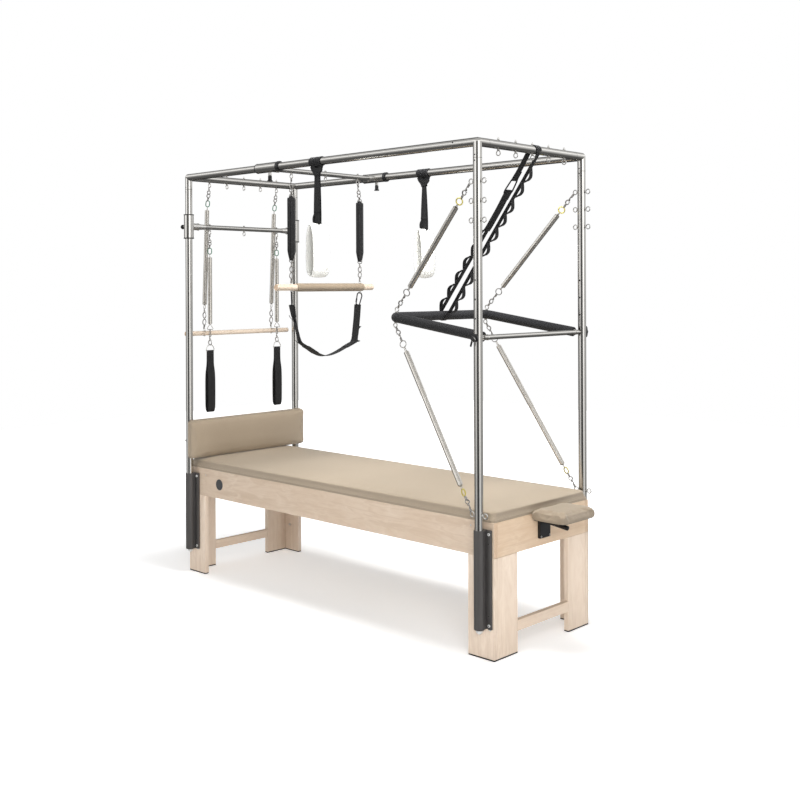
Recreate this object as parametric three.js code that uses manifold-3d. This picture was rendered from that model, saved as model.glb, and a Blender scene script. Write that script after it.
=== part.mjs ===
// Pilates trapeze table: a padded wooden bed under a stainless steel tube frame, with a
// hinged push-through bar, two sliding crossbars, a trapeze, springs and hanging loops.
// Millimetres, +Z up. +X is the foot end, -Y the near long side, z = 0 the floor.
import * as THREE from 'three';
import { mergeVertices } from 'three/addons/utils/BufferGeometryUtils.js';
import Module from 'manifold-3d';

const wasm = await Module();
wasm.setup();

// ---------------------------------------------------------------- driving dimensions
const SHIFT_X = -82.91;        // brings the middle of the whole object onto the origin
const POST_X = 1023;           // post axes, half spacing along the bed
const POST_Y = 379;            // post axes, half spacing across the bed
const TOP_Z = 2160;            // axis height of the top tubes
const TUBE_R = 19;             // frame tube, 38 mm outside
const TUBE_RI = 17;
const STUB = 67;               // corner fitting to its seam on the post
const STUB_Y = 60;             // corner fitting to its seam on the end tube
const POST_Z0 = 120;           // bottom of a post

const BASE_X = 1075;           // half length of the wooden base
const BASE_Y = 345;            // half width of the wooden base
const BOARD = 25;              // board thickness
const RAIL_Z0 = 427;
const RAIL_Z1 = 575;
const LEG_SIDE = 142;          // leg board in the long side
const LEG_END = 159;           // leg board in the end
const FOOT = 5;                // rubber foot pad
const GAP = 0.3;               // gap between pieces that touch

const MAT_Z0 = 576, MAT_Z1 = 624;
const HEAD_Z0 = 627, HEAD_Z1 = 837, HEAD_Y = 407, HEAD_X0 = -1002.5, HEAD_X1 = -965;
const CLAMP_Z0 = 132, CLAMP_Z1 = 545, CLAMP_R = 22.6, CLAMP_HALF = 44;

const EYE_R = 10.5, EYE_WIRE = 2.4, EYE_OUT = 35.5;   // eyebolt ring, and its offset
const LINK_R = 8, LINK_WIRE = 1.6, LINK_IN = 5;       // end link of a spring in an eye
const POST_EYES_Z = [1997, 1915.5, 1834];
const LOW_EYE_Z = 607;
const PIN_HOLES_Z = [1584.5, 1504.5, 1424.5];
const PIVOT_Z = 1344.5;
const END_EYES_Y = [-240, -120, 0, 120, 240];
const NUT_TOP = 32;            // eyebolt thread above the tube axis

const BAR_Y = 330, BAR_RISE = 76.5, BAR_RUN = 539, BAR_BEND = 32;   // push-through bar
const BAR_TUBE_R = 11, BAR_TUBE_RI = 9, FOAM_RI = 11.5, FOAM_R = 22, BAR_EYE_S = 534;

const SLIDER_X = -330, SLIDER_Z = 2154, CROSS_R = 12.7;
const COLLAR_RI = 20.4, COLLAR_R = 25;
const CROSS_Z = 1892;
const TRAP_Z = 1557, TRAP_HALF = 341, TRAP_R = 13;
const TRAP_EYES_Y = [-236, 0, 236];
const FLEECE_X = 30;
const ROLL_X = -1076.5, ROLL_Z = 1303, ROLL_HALF = 365, ROLL_R = 13;
const KNOB_OUT = 418;          // outermost face of the two pivot knobs

// ---------------------------------------------------------------- solids
const V = (a) => new THREE.Vector3(a[0], a[1], a[2]);

function solid(geometry) {
  const g = geometry.index ? geometry.toNonIndexed() : geometry.clone();
  for (const n of Object.keys(g.attributes)) if (n !== 'position') g.deleteAttribute(n);
  const m = mergeVertices(g, 1e-4);
  const pos = m.attributes.position.array, idx = m.index.array, tri = [];
  for (let i = 0; i < idx.length; i += 3)
    if (idx[i] !== idx[i + 1] && idx[i + 1] !== idx[i + 2] && idx[i] !== idx[i + 2])
      tri.push(idx[i], idx[i + 1], idx[i + 2]);
  return new wasm.Manifold(new wasm.Mesh({
    numProp: 3, vertProperties: new Float32Array(pos), triVerts: new Uint32Array(tri) }));
}
const add = (...s) => s.reduce((a, b) => a.add(b));
const cut = (a, ...s) => s.reduce((x, b) => x.subtract(b), a);

function cyl(p0, p1, r, seg = 10, r1 = r) {
  const a = V(p0), d = V(p1).sub(a), h = d.length();
  const g = new THREE.CylinderGeometry(r1, r, h, seg, 1);
  g.translate(0, h / 2, 0);
  g.applyQuaternion(new THREE.Quaternion().setFromUnitVectors(new THREE.Vector3(0, 1, 0), d.normalize()));
  g.translate(a.x, a.y, a.z);
  return solid(g);
}
function tube(p0, p1, ro, ri, seg = 12) {
  const a = V(p0), b = V(p1), d = b.clone().sub(a).normalize();
  return cut(cyl(p0, p1, ro, seg),
    cyl(a.clone().addScaledVector(d, -1).toArray(), b.clone().addScaledVector(d, 1).toArray(), ri, seg));
}
function box(x0, x1, y0, y1, z0, z1) {
  const g = new THREE.BoxGeometry(x1 - x0, y1 - y0, z1 - z0);
  g.translate((x0 + x1) / 2, (y0 + y1) / 2, (z0 + z1) / 2);
  return solid(g);
}
function ring(c, normal, R, r, segR = 8, segr = 3) {
  const g = new THREE.TorusGeometry(R, r, segr, segR);
  g.applyQuaternion(new THREE.Quaternion().setFromUnitVectors(new THREE.Vector3(0, 0, 1), V(normal).normalize()));
  g.translate(c[0], c[1], c[2]);
  return solid(g);
}
function ball(c, r, seg = 14) {
  const g = new THREE.SphereGeometry(r, seg, Math.round(seg / 2));
  g.rotateX(Math.PI / 2);
  g.translate(c[0], c[1], c[2]);
  return solid(g);
}
// A flat outline pushed out along one axis. plane 'xy', 'xz' or 'yz'; from lo to hi.
function plate(outline, plane, lo, hi, bevel = 0) {
  const g = new THREE.ExtrudeGeometry(new THREE.Shape(outline.map((p) => new THREE.Vector2(p[0], p[1]))), {
    depth: hi - lo - 2 * bevel, steps: 1, bevelEnabled: bevel > 0, bevelSize: bevel,
    bevelThickness: bevel, bevelSegments: 2, bevelOffset: -bevel });
  g.translate(0, 0, bevel);
  const m = new THREE.Matrix4();
  if (plane === 'xy') m.makeTranslation(0, 0, lo);
  if (plane === 'yz') m.set(0, 0, 1, lo, 1, 0, 0, 0, 0, 1, 0, 0, 0, 0, 0, 1);
  if (plane === 'xz') m.set(1, 0, 0, 0, 0, 0, -1, hi, 0, 1, 0, 0, 0, 0, 0, 1);
  g.applyMatrix4(m);
  return solid(g);
}
function roundRect(x0, x1, y0, y1, r, n = 4) {
  const p = [], c = [[x1 - r, y1 - r, 0], [x0 + r, y1 - r, 90], [x0 + r, y0 + r, 180], [x1 - r, y0 + r, 270]];
  for (const [cx, cy, a0] of c)
    for (let i = 0; i <= n; i++) {
      const a = THREE.MathUtils.degToRad(a0 + 90 * i / n);
      p.push([cx + r * Math.cos(a), cy + r * Math.sin(a)]);
    }
  return p;
}
// Outline of a band of thickness t that follows a flat polyline.
function band(pts, t) {
  const L = [], R = [];
  for (let i = 0; i < pts.length; i++) {
    const a = pts[Math.max(i - 1, 0)], b = pts[i], c = pts[Math.min(i + 1, pts.length - 1)];
    const u = new THREE.Vector2(b[0] - a[0], b[1] - a[1]), w = new THREE.Vector2(c[0] - b[0], c[1] - b[1]);
    if (u.length() < 1e-6) u.copy(w);
    if (w.length() < 1e-6) w.copy(u);
    u.normalize(); w.normalize();
    const m = u.clone().add(w).normalize();
    const k = (t / 2) / Math.max(0.5, m.dot(u));
    L.push([b[0] - m.y * k, b[1] + m.x * k]);
    R.push([b[0] + m.y * k, b[1] - m.x * k]);
  }
  return [...R, ...L.reverse()];
}
class Route extends THREE.Curve {
  constructor(points) { super(); this.p = points; }
  getPoint(t, out = new THREE.Vector3()) {
    const s = t * (this.p.length - 1), i = Math.min(Math.floor(s), this.p.length - 2);
    return out.lerpVectors(this.p[i], this.p[i + 1], s - i);
  }
  getPointAt(u, out) { return this.getPoint(u, out); }
  getTangentAt(u, out = new THREE.Vector3()) {
    const n = this.p.length - 1, i = Math.round(u * n);
    const a = this.p[Math.max(i - 1, 0)], b = this.p[i], c = this.p[Math.min(i + 1, n)];
    const d1 = b.clone().sub(a), d2 = c.clone().sub(b);
    if (d1.lengthSq() > 0) d1.normalize();
    if (d2.lengthSq() > 0) d2.normalize();
    return out.copy(d1.add(d2)).normalize();
  }
}
function sweep(points, ro, ri, seg) {
  const circle = (r) => Array.from({ length: seg }, (_, i) =>
    new THREE.Vector2(r * Math.cos(2 * Math.PI * i / seg), r * Math.sin(2 * Math.PI * i / seg)));
  const shape = new THREE.Shape(circle(ro));
  if (ri > 0) shape.holes.push(new THREE.Path(circle(ri).reverse()));
  return solid(new THREE.ExtrudeGeometry(shape, {
    steps: points.length - 1, bevelEnabled: false, extrudePath: new Route(points.map(V)) }));
}

const part = new THREE.Group();
part.position.set(SHIFT_X, 0, 0);
const LOOK = {
  maple: { color: 0xdcc3a4, roughness: 0.5, metalness: 0 },
  vinyl: { color: 0xb6a58c, roughness: 0.5, metalness: 0 },
  steel: { color: 0xb9b9b6, roughness: 0.28, metalness: 1 },
  spring: { color: 0x8f8c86, roughness: 0.35, metalness: 1 },
  clamp: { color: 0x4c4c4c, roughness: 0.5, metalness: 0.4 },
  black: { color: 0x151515, roughness: 0.45, metalness: 0 },
  foam: { color: 0x2b2b2d, roughness: 0.85, metalness: 0 },
  web: { color: 0x1e1e20, roughness: 0.8, metalness: 0 },
  fleece: { color: 0xf2f0ea, roughness: 1, metalness: 0 },
  rubber: { color: 0x161616, roughness: 0.9, metalness: 0 },
};
function piece(name, look, body) {
  const m = body.getMesh(), g = new THREE.BufferGeometry();
  const np = m.numProp, n = m.vertProperties.length / np, pos = new Float32Array(n * 3);
  for (let i = 0; i < n; i++) for (let k = 0; k < 3; k++) pos[3 * i + k] = m.vertProperties[np * i + k];
  g.setAttribute('position', new THREE.BufferAttribute(pos, 3));
  g.setIndex(new THREE.BufferAttribute(new Uint32Array(m.triVerts), 1));
  g.computeVertexNormals();
  const mesh = new THREE.Mesh(g, new THREE.MeshStandardMaterial(LOOK[look]));
  mesh.name = name;
  part.add(mesh);
}

// ---------------------------------------------------------------- wooden base
for (const [side, sy] of [['near', -1], ['far', 1]]) {
  const y0 = sy * BASE_Y, y1 = sy * (BASE_Y - BOARD);
  piece(`side_rail_${side}`, 'maple',
    box(-BASE_X, BASE_X, Math.min(y0, y1), Math.max(y0, y1), RAIL_Z0 + GAP, RAIL_Z1));
}
for (const [end, sx] of [['head', -1], ['foot', 1]]) {
  const x0 = sx * BASE_X, x1 = sx * (BASE_X - BOARD);
  const xa = Math.min(x0, x1), xb = Math.max(x0, x1);
  const yr = BASE_Y - BOARD - GAP;
  piece(`end_rail_${end}`, 'maple', box(xa, xb, -yr, yr, RAIL_Z0 + GAP, RAIL_Z1));
  const ys = BASE_Y - LEG_END - GAP;
  piece(`stretcher_${end}`, 'maple', box(xa, xb, -ys, ys, 92, 138));
  for (const [side, sy] of [['near', -1], ['far', 1]]) {
    // two boards in an L, and a corner block that rises behind the rails
    const L = [[0, 0], [LEG_SIDE, 0], [LEG_SIDE, BOARD], [BOARD, BOARD], [BOARD, LEG_END], [0, LEG_END]]
      .map(([u, v]) => [sx * (BASE_X - u), sy * (BASE_Y - v)]);
    const shape = sx * sy > 0 ? L : L.slice().reverse();
    const b0 = BASE_X - BOARD - GAP, c0 = BASE_Y - BOARD - GAP;
    const bx = [sx * b0, sx * (b0 - 42)].sort((a, b) => a - b), by = [sy * c0, sy * (c0 - 42)].sort((a, b) => a - b);
    const foot = [sx * (BASE_X - BOARD + 5), sx * (b0 - 42)].sort((a, b) => a - b);
    const footy = [sy * (BASE_Y - BOARD + 5), sy * (c0 - 42)].sort((a, b) => a - b);
    piece(`leg_${end}_${side}`, 'maple', add(
      plate(shape, 'xy', FOOT + GAP, RAIL_Z0),
      box(foot[0], foot[1], footy[0], footy[1], 350, RAIL_Z0 - 2),
      box(bx[0], bx[1], by[0], by[1], RAIL_Z0 - 10, 555)));
    const P = [[2, 2], [LEG_SIDE - 2, 2], [LEG_SIDE - 2, BOARD - 2], [BOARD - 2, BOARD - 2], [BOARD - 2, LEG_END - 2], [2, LEG_END - 2]]
      .map(([u, v]) => [sx * (BASE_X - u), sy * (BASE_Y - v)]);
    piece(`foot_pad_${end}_${side}`, 'rubber', plate(sx * sy > 0 ? P : P.slice().reverse(), 'xy', 0, FOOT));
  }
}

// ---------------------------------------------------------------- upholstery
piece('mattress', 'vinyl', plate(roundRect(-BASE_X, BASE_X, -BASE_Y, BASE_Y, 16, 3), 'xy', MAT_Z0, MAT_Z1, 9));
piece('headboard', 'vinyl', plate(roundRect(-HEAD_Y, HEAD_Y, HEAD_Z0, HEAD_Z1, 22, 3), 'yz', HEAD_X0, HEAD_X1, 8));
{
  // the pad stands on a hollow arm that slips over a peg on the bracket
  const p0 = [1090.5, -10, 536.2], p1 = [1213, -10, 520.1], d = V(p1).sub(V(p0)).normalize();
  const on = (s) => V(p0).addScaledVector(d, s).toArray();
  piece('end_pad', 'vinyl', add(plate(roundRect(1079, 1257, -108, 143, 18, 4), 'xy', 552, 594, 12),
    cut(add(cyl(on(2), on(123), 10, 12), box(1140, 1176, -22, 2, 526, 556)), cyl(on(-1), on(100), 7.6, 12))));
  piece('end_pad_bracket', 'black', add(box(BASE_X + GAP, 1090, -43, 32, 462, 548), cyl(on(-4), on(86), 7, 12)));
}

// ---------------------------------------------------------------- post clamps and posts
for (const [end, sx] of [['head', -1], ['foot', 1]])
  for (const [side, sy] of [['near', -1], ['far', 1]]) {
    const px = sx * POST_X, py = sy * POST_Y, face = sy * (BASE_Y + GAP);
    const fy = [face, face + sy * 7].sort((a, b) => a - b), wy = [face + sy * 2, py].sort((a, b) => a - b);
    piece(`post_clamp_${end}_${side}`, 'clamp', cut(
      add(cyl([px, py, CLAMP_Z0], [px, py, CLAMP_Z1], CLAMP_R, 12),
        box(px - CLAMP_HALF, px + CLAMP_HALF, fy[0], fy[1], CLAMP_Z0, CLAMP_Z1),
        box(px - 19, px + 19, wy[0], wy[1], CLAMP_Z0, CLAMP_Z1)),
      cyl([px, py, CLAMP_Z0 - 1], [px, py, CLAMP_Z1 + 1], TUBE_R + 0.5, 12)));
    let post = tube([px, py, POST_Z0], [px, py, TOP_Z - STUB - GAP], TUBE_R, TUBE_RI, 12);
    if (end === 'foot') {
      for (const z of [...POST_EYES_Z, LOW_EYE_Z]) {
        post = add(post, cyl([px - EYE_OUT + EYE_R, py, z], [px + EYE_OUT - EYE_R, py, z], 3, 5),
          ring([px - EYE_OUT, py, z], [0, 1, 0], EYE_R, EYE_WIRE),
          ring([px + EYE_OUT, py, z], [0, 1, 0], EYE_R, EYE_WIRE));
      }
      for (const z of PIN_HOLES_Z) post = cut(post, cyl([px, py - 30, z], [px, py + 30, z], 4, 8));
      post = cut(post, cyl([px, py - 30, PIVOT_Z], [px, py + 30, PIVOT_Z], 6.7, 10));
    }
    piece(`post_${end}_${side}`, 'steel', post);
  }

// ---------------------------------------------------------------- top frame
for (const [side, sy] of [['near', -1], ['far', 1]]) {
  const y = sy * POST_Y, X = POST_X, sp = 50;
  let out = cyl([-X, y, TOP_Z], [X, y, TOP_Z], TUBE_R, 12);
  let inn = cyl([-X, y, TOP_Z], [X, y, TOP_Z], TUBE_RI, 12);
  for (const x of [-X, X]) {
    const yi = y - sy * STUB_Y, zi = TOP_Z - STUB;
    out = add(out, ball([x, y, TOP_Z], TUBE_R, 12), cyl([x, y, TOP_Z], [x, y, zi], TUBE_R, 12),
      cyl([x, y, TOP_Z], [x, yi, TOP_Z], TUBE_R, 12),
      cyl([x, y, zi + 10], [x, y, zi - sp], TUBE_RI - 0.5, 12),
      cyl([x, yi + sy * 10, TOP_Z], [x, yi - sy * 40, TOP_Z], TUBE_RI - 0.5, 12));
    inn = add(inn, ball([x, y, TOP_Z], TUBE_RI, 12),
      cyl([x, y, TOP_Z], [x, y, zi + 10], TUBE_RI, 12), cyl([x, y, zi + 12], [x, y, zi - sp - 1], TUBE_RI - 2.5, 12),
      cyl([x, y, TOP_Z], [x, yi + sy * 10, TOP_Z], TUBE_RI, 12),
      cyl([x, yi + sy * 12, TOP_Z], [x, yi - sy * 41, TOP_Z], TUBE_RI - 2.5, 12));
  }
  piece(`top_rail_${side}`, 'steel', cut(out, inn));
}
for (const [end, sx] of [['head', -1], ['foot', 1]]) {
  const x = sx * POST_X, yi = POST_Y - STUB_Y - GAP;
  let t = tube([x, -yi, TOP_Z], [x, yi, TOP_Z], TUBE_R, TUBE_RI, 12);
  for (const y of END_EYES_Y)
    t = add(t, cyl([x, y, TOP_Z - EYE_OUT + EYE_R], [x, y, TOP_Z + NUT_TOP], 3, 5),
      ring([x, y, TOP_Z - EYE_OUT], [0, 1, 0], EYE_R, EYE_WIRE));
  piece(`top_end_tube_${end}`, 'steel', t);
}

// ---------------------------------------------------------------- springs
const at = (p, d, s) => [p[0] + d[0] * s, p[1] + d[1] * s, p[2] + d[2] * s];
const dir = (a, b) => V(b).sub(V(a)).normalize().toArray();
// the end link that hangs in an eye, on the side that points along d
function link(eye, d, R = LINK_R, w = LINK_WIRE, inside = LINK_IN) {
  return ring(at(eye, d, inside + R), V(d).cross(new THREE.Vector3(0, 1, 0)).toArray(), R, w, 8, 3);
}
// a close-wound coil: a thin-walled tube, closed at a, with the end wire running through it
function coil(a, b, r = 12, wall = 2.2) {
  const d = dir(a, b);
  return add(cut(cyl(a, b, r, 8), cyl(at(a, d, 3), at(b, d, 1), r - wall, 8)), cyl(a, b, 2, 5));
}
// one straight spring between two eyes, with a coloured ring near its first end
function spring(e, f, ringAt, ringR, c0, c1) {
  const d = dir(e, f), n = V(d).cross(new THREE.Vector3(0, 1, 0)).normalize();
  const L = V(f).sub(V(e)).length(), back = d.map((v) => -v);
  const side = V(d).cross(n).toArray();
  return add(link(e, d), cyl(at(e, d, LINK_IN + 2 * LINK_R - 1.5), at(e, d, ringAt - ringR + 1), 2, 5),
    ring(at(e, d, ringAt), side, ringR, 2.3, 8, 3),
    cyl(at(e, d, ringAt + ringR - 1), at(e, d, c0 + 4), 2, 5),
    coil(at(e, d, c0), at(e, d, c1)),
    cyl(at(e, d, c1 - 4), at(e, d, L - LINK_IN - 2 * LINK_R + 1.5), 2, 5), link(f, back));
}

// ---------------------------------------------------------------- push-through bar
const barLen = Math.hypot(BAR_RISE, BAR_RUN), ct = BAR_RUN / barLen, st = BAR_RISE / barLen;
const barPt = (s, y, n = 0) => [POST_X - s * ct + n * st, y, PIVOT_Z + s * st + n * ct];
const barRoute = (s0) => {
  const p = [barPt(s0, -BAR_Y)], n = 4, c = barLen - BAR_BEND, k = BAR_Y - BAR_BEND;
  for (let i = 0; i <= n; i++) { const a = Math.PI / 2 * i / n; p.push(barPt(c + BAR_BEND * Math.sin(a), -k - BAR_BEND * Math.cos(a))); }
  for (let i = 0; i <= n; i++) { const a = Math.PI / 2 * i / n; p.push(barPt(c + BAR_BEND * Math.cos(a), k + BAR_BEND * Math.sin(a))); }
  p.push(barPt(s0, BAR_Y));
  return p;
};
const barEyeY = BAR_Y - BAR_BEND + Math.sqrt(BAR_BEND ** 2 - (BAR_EYE_S - barLen + BAR_BEND) ** 2);
const barTopEye = (sy) => barPt(BAR_EYE_S, sy * barEyeY, 36);
const barLowEye = (sy) => barPt(BAR_EYE_S, sy * barEyeY, -36);
{
  const pivot = (r) => cyl([POST_X, -BAR_Y - 14, PIVOT_Z], [POST_X, BAR_Y + 14, PIVOT_Z], r, 12);
  let frame = cut(add(sweep(barRoute(0), BAR_TUBE_R, 0, 8), pivot(BAR_TUBE_R)),
    sweep(barRoute(0), BAR_TUBE_RI, 0, 8),
    cyl([POST_X, -BAR_Y - 20, PIVOT_Z], [POST_X, BAR_Y + 20, PIVOT_Z], 6.4, 12));
  let foam = sweep(barRoute(12), FOAM_R, FOAM_RI, 12);
  for (const sy of [-1, 1]) {
    const up = barTopEye(sy), dn = barLowEye(sy), d = dir(dn, up);
    frame = add(frame, cyl(at(dn, d, EYE_R), at(up, d, -EYE_R), 3, 5),
      ring(up, [0, 1, 0], EYE_R, EYE_WIRE), ring(dn, [0, 1, 0], EYE_R, EYE_WIRE));
    foam = cut(foam, cyl(at(dn, d, 5), at(up, d, -5), 4.2, 8));
  }
  piece('push_bar_frame', 'steel', frame);
  piece('push_bar_foam', 'foam', foam);
}
// pivot pins: a pull pin with a lever on the near post, a wing knob on the far post
piece('push_bar_pin_near', 'black', add(
  cyl([POST_X, -POST_Y - TUBE_R - 1.2, PIVOT_Z], [POST_X, -300, PIVOT_Z], 6, 12),
  cyl([POST_X, -POST_Y - TUBE_R - 8, PIVOT_Z], [POST_X, -POST_Y - TUBE_R - 0.6, PIVOT_Z], 17, 12),
  cyl([POST_X, -KNOB_OUT, PIVOT_Z], [POST_X, -POST_Y - TUBE_R - 6, PIVOT_Z], 12, 12),
  cyl([POST_X - 6, -411, PIVOT_Z - 6], [POST_X - 14, -411, PIVOT_Z - 36], 4, 8)));
piece('push_bar_wing_knob_far', 'black', add(
  cyl([POST_X, 300, PIVOT_Z], [POST_X, POST_Y + TUBE_R + 3, PIVOT_Z], 6, 12),
  cyl([POST_X, POST_Y + TUBE_R + 0.6, PIVOT_Z], [POST_X, KNOB_OUT, PIVOT_Z], 9, 12),
  plate([[POST_X - 9, PIVOT_Z - 6], [POST_X - 4.5, PIVOT_Z - 26], [POST_X + 4.5, PIVOT_Z - 26], [POST_X + 9, PIVOT_Z - 6],
    [POST_X + 9, PIVOT_Z + 6], [POST_X + 4.5, PIVOT_Z + 26], [POST_X - 4.5, PIVOT_Z + 26], [POST_X - 9, PIVOT_Z + 6]],
    'xz', 406, 415)));

for (const [side, sy] of [['near', -1], ['far', 1]]) {
  const e = [POST_X - EYE_OUT, sy * POST_Y, POST_EYES_Z[0]], f = barTopEye(sy);
  piece(`push_spring_upper_${side}`, 'spring', spring(e, f, 107, 15, 141, 592));
  const g = [POST_X - EYE_OUT, sy * POST_Y, LOW_EYE_Z], h = barLowEye(sy), d = dir(g, h);
  const L = V(h).sub(V(g)).length(), c1 = 787, n = V(d).cross(new THREE.Vector3(0, 1, 0)).normalize();
  piece(`push_spring_lower_${side}`, 'spring', add(link(g, d),
    cyl(at(g, d, LINK_IN + 2 * LINK_R - 1.5), at(g, d, 98 - 14), 2, 5),
    ring(at(g, d, 98), V(d).cross(n).toArray(), 15, 2.3, 8, 3), cyl(at(g, d, 98 + 14), at(g, d, 132), 2, 5),
    coil(at(g, d, 128), at(g, d, c1))));
  piece(`push_spring_hook_${side}`, 'spring', add(
    cyl(at(g, d, c1 + 0.4), at(g, d, c1 + 6), 8, 12, 3), cyl(at(g, d, c1 + 5), at(g, d, c1 + 26), 2, 5),
    ring(at(g, d, c1 + 39), V(d).cross(n).toArray(), 14, 2, 8, 4),
    cyl(at(g, d, c1 + 52), at(g, d, L - LINK_IN - 2 * LINK_R + 1.5), 2, 5),
    link(h, d.map((v) => -v))));
}

// ---------------------------------------------------------------- crossbar along the bed top
const crossEye = (x, y, z) => [x, y, z - 28];
{
  const z = SLIDER_Z, x = SLIDER_X;
  let t = tube([x, -POST_Y + 21, z], [x, POST_Y - 21, z], CROSS_R, CROSS_R - 2, 12);
  for (const y of TRAP_EYES_Y) t = add(t, cyl([x, y, z - 28 + EYE_R], [x, y, z + CROSS_R + 6], 2.6, 5),
    ring(crossEye(x, y, z), [0, 1, 0], EYE_R, EYE_WIRE));
  for (const sy of [-1, 1]) {
    const y = sy * POST_Y, xa = -423, xb = -247;
    t = add(t, cyl([xa, y, TOP_Z], [xb, y, TOP_Z], COLLAR_R, 12),
      cyl([x, y - sy * 20, z], [x, y - sy * 60, z], 16, 12), cyl([-327, y, TOP_Z - 22], [-327, y, 2119], 9, 6));
    t = cut(t, cyl([xa - 1, y, TOP_Z], [xb + 1, y, TOP_Z], COLLAR_RI, 12), cyl([-327, y, TOP_Z - 19], [-327, y, 2110], 4.8, 10),
      cyl([x, y, z], [x, y - sy * 62, z], 8, 12));
  }
  piece('slider_crossbar', 'steel', t);
  for (const [side, sy] of [['near', -1], ['far', 1]]) {
    const y = sy * POST_Y;
    piece(`slider_pull_knob_${side}`, 'black', add(cyl([-327, y, TOP_Z - TUBE_R - 0.7], [-327, y, 2110], 4, 10),
      cyl([-327, y, 2118.4], [-327, y, 2096], 9, 12), cyl([-327, y, 2097], [-327, y, 2090], 14, 12)));
  }
}
// trapeze: wooden bar with a padded sleeve, on two padded straps, and the sling under it
{
  const x = SLIDER_X, rise = [], strapY = [-236, 250];
  let bar = add(cyl([x, -TRAP_HALF, TRAP_Z], [x, TRAP_HALF, TRAP_Z], TRAP_R, 12),
    cyl([x, -207, TRAP_Z], [x, 268, TRAP_Z], 21, 12));
  for (const y of [-238, 250]) {
    const r = y > 0 ? 21 : TRAP_R;
    bar = add(bar, ring([x, y, TRAP_Z + r + 6], [0, 1, 0], 7, 1.8, 8, 3), ring([x, y, TRAP_Z - r - 6], [0, 1, 0], 7, 1.8, 8, 3));
  }
  piece('trapeze_bar', 'maple', bar);
  [['near', 0], ['far', 1]].forEach(([side, k]) => {
    const e = crossEye(x, TRAP_EYES_Y[2 * k], SLIDER_Z), y = strapY[k], r = k ? 21 : TRAP_R;
    const low = [x, k ? 250 : -238, TRAP_Z + r + 6], top = [x, y, 2012], bot = [x, y, 1706];
    const d0 = dir(e, top), d1 = dir(low, bot);
    piece(`trapeze_strap_${side}`, 'web', add(link(e, d0), cyl(at(e, d0, 19.5), top, 2, 5),
      plate([[y - 24, 2016], [y - 27, 2012], [y - 27, 1742], [y - 15, 1702], [y + 15, 1702], [y + 27, 1742], [y + 27, 2012], [y + 24, 2016]],
        'yz', x - 7, x + 7),
      cyl(bot, at(low, d1, 15.5), 2, 5), link(low, d1, 7, 1.4, 2.6)));
  });
  // sling
  const hang = [[-238, TRAP_Z - TRAP_R - 6], [250, TRAP_Z - 27]];
  const route = [[-236, 1467], [-226, 1420], [-205, 1345], [-181, 1277], [-128, 1243], [-60, 1205], [-5, 1196], [60, 1208],
    [128, 1233], [200, 1262], [214, 1330], [226, 1400], [232, 1463]];
  let sling = plate(band(route, 4), 'yz', x - 25, x + 25);
  for (const k of [0, 1]) {
    const [yy, zz] = hang[k], s = k ? [232, 1463] : [-236, 1467], w = k ? 14 : 6;
    const b = [[yy - w * 0.5, zz - 9.4], [yy - w, zz - 15], [s[0] - w * 0.8, s[1] + 6], [s[0] - w * 0.7, s[1] - 2],
      [s[0] + w * 0.7, s[1] - 2], [s[0] + w * 0.8, s[1] + 6], [yy + w, zz - 15], [yy + w * 0.5, zz - 9.4]];
    sling = add(sling, plate(b.slice().reverse(), 'yz', x - 3, x + 3));
  }
  piece('trapeze_sling', 'web', sling);
}

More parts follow.
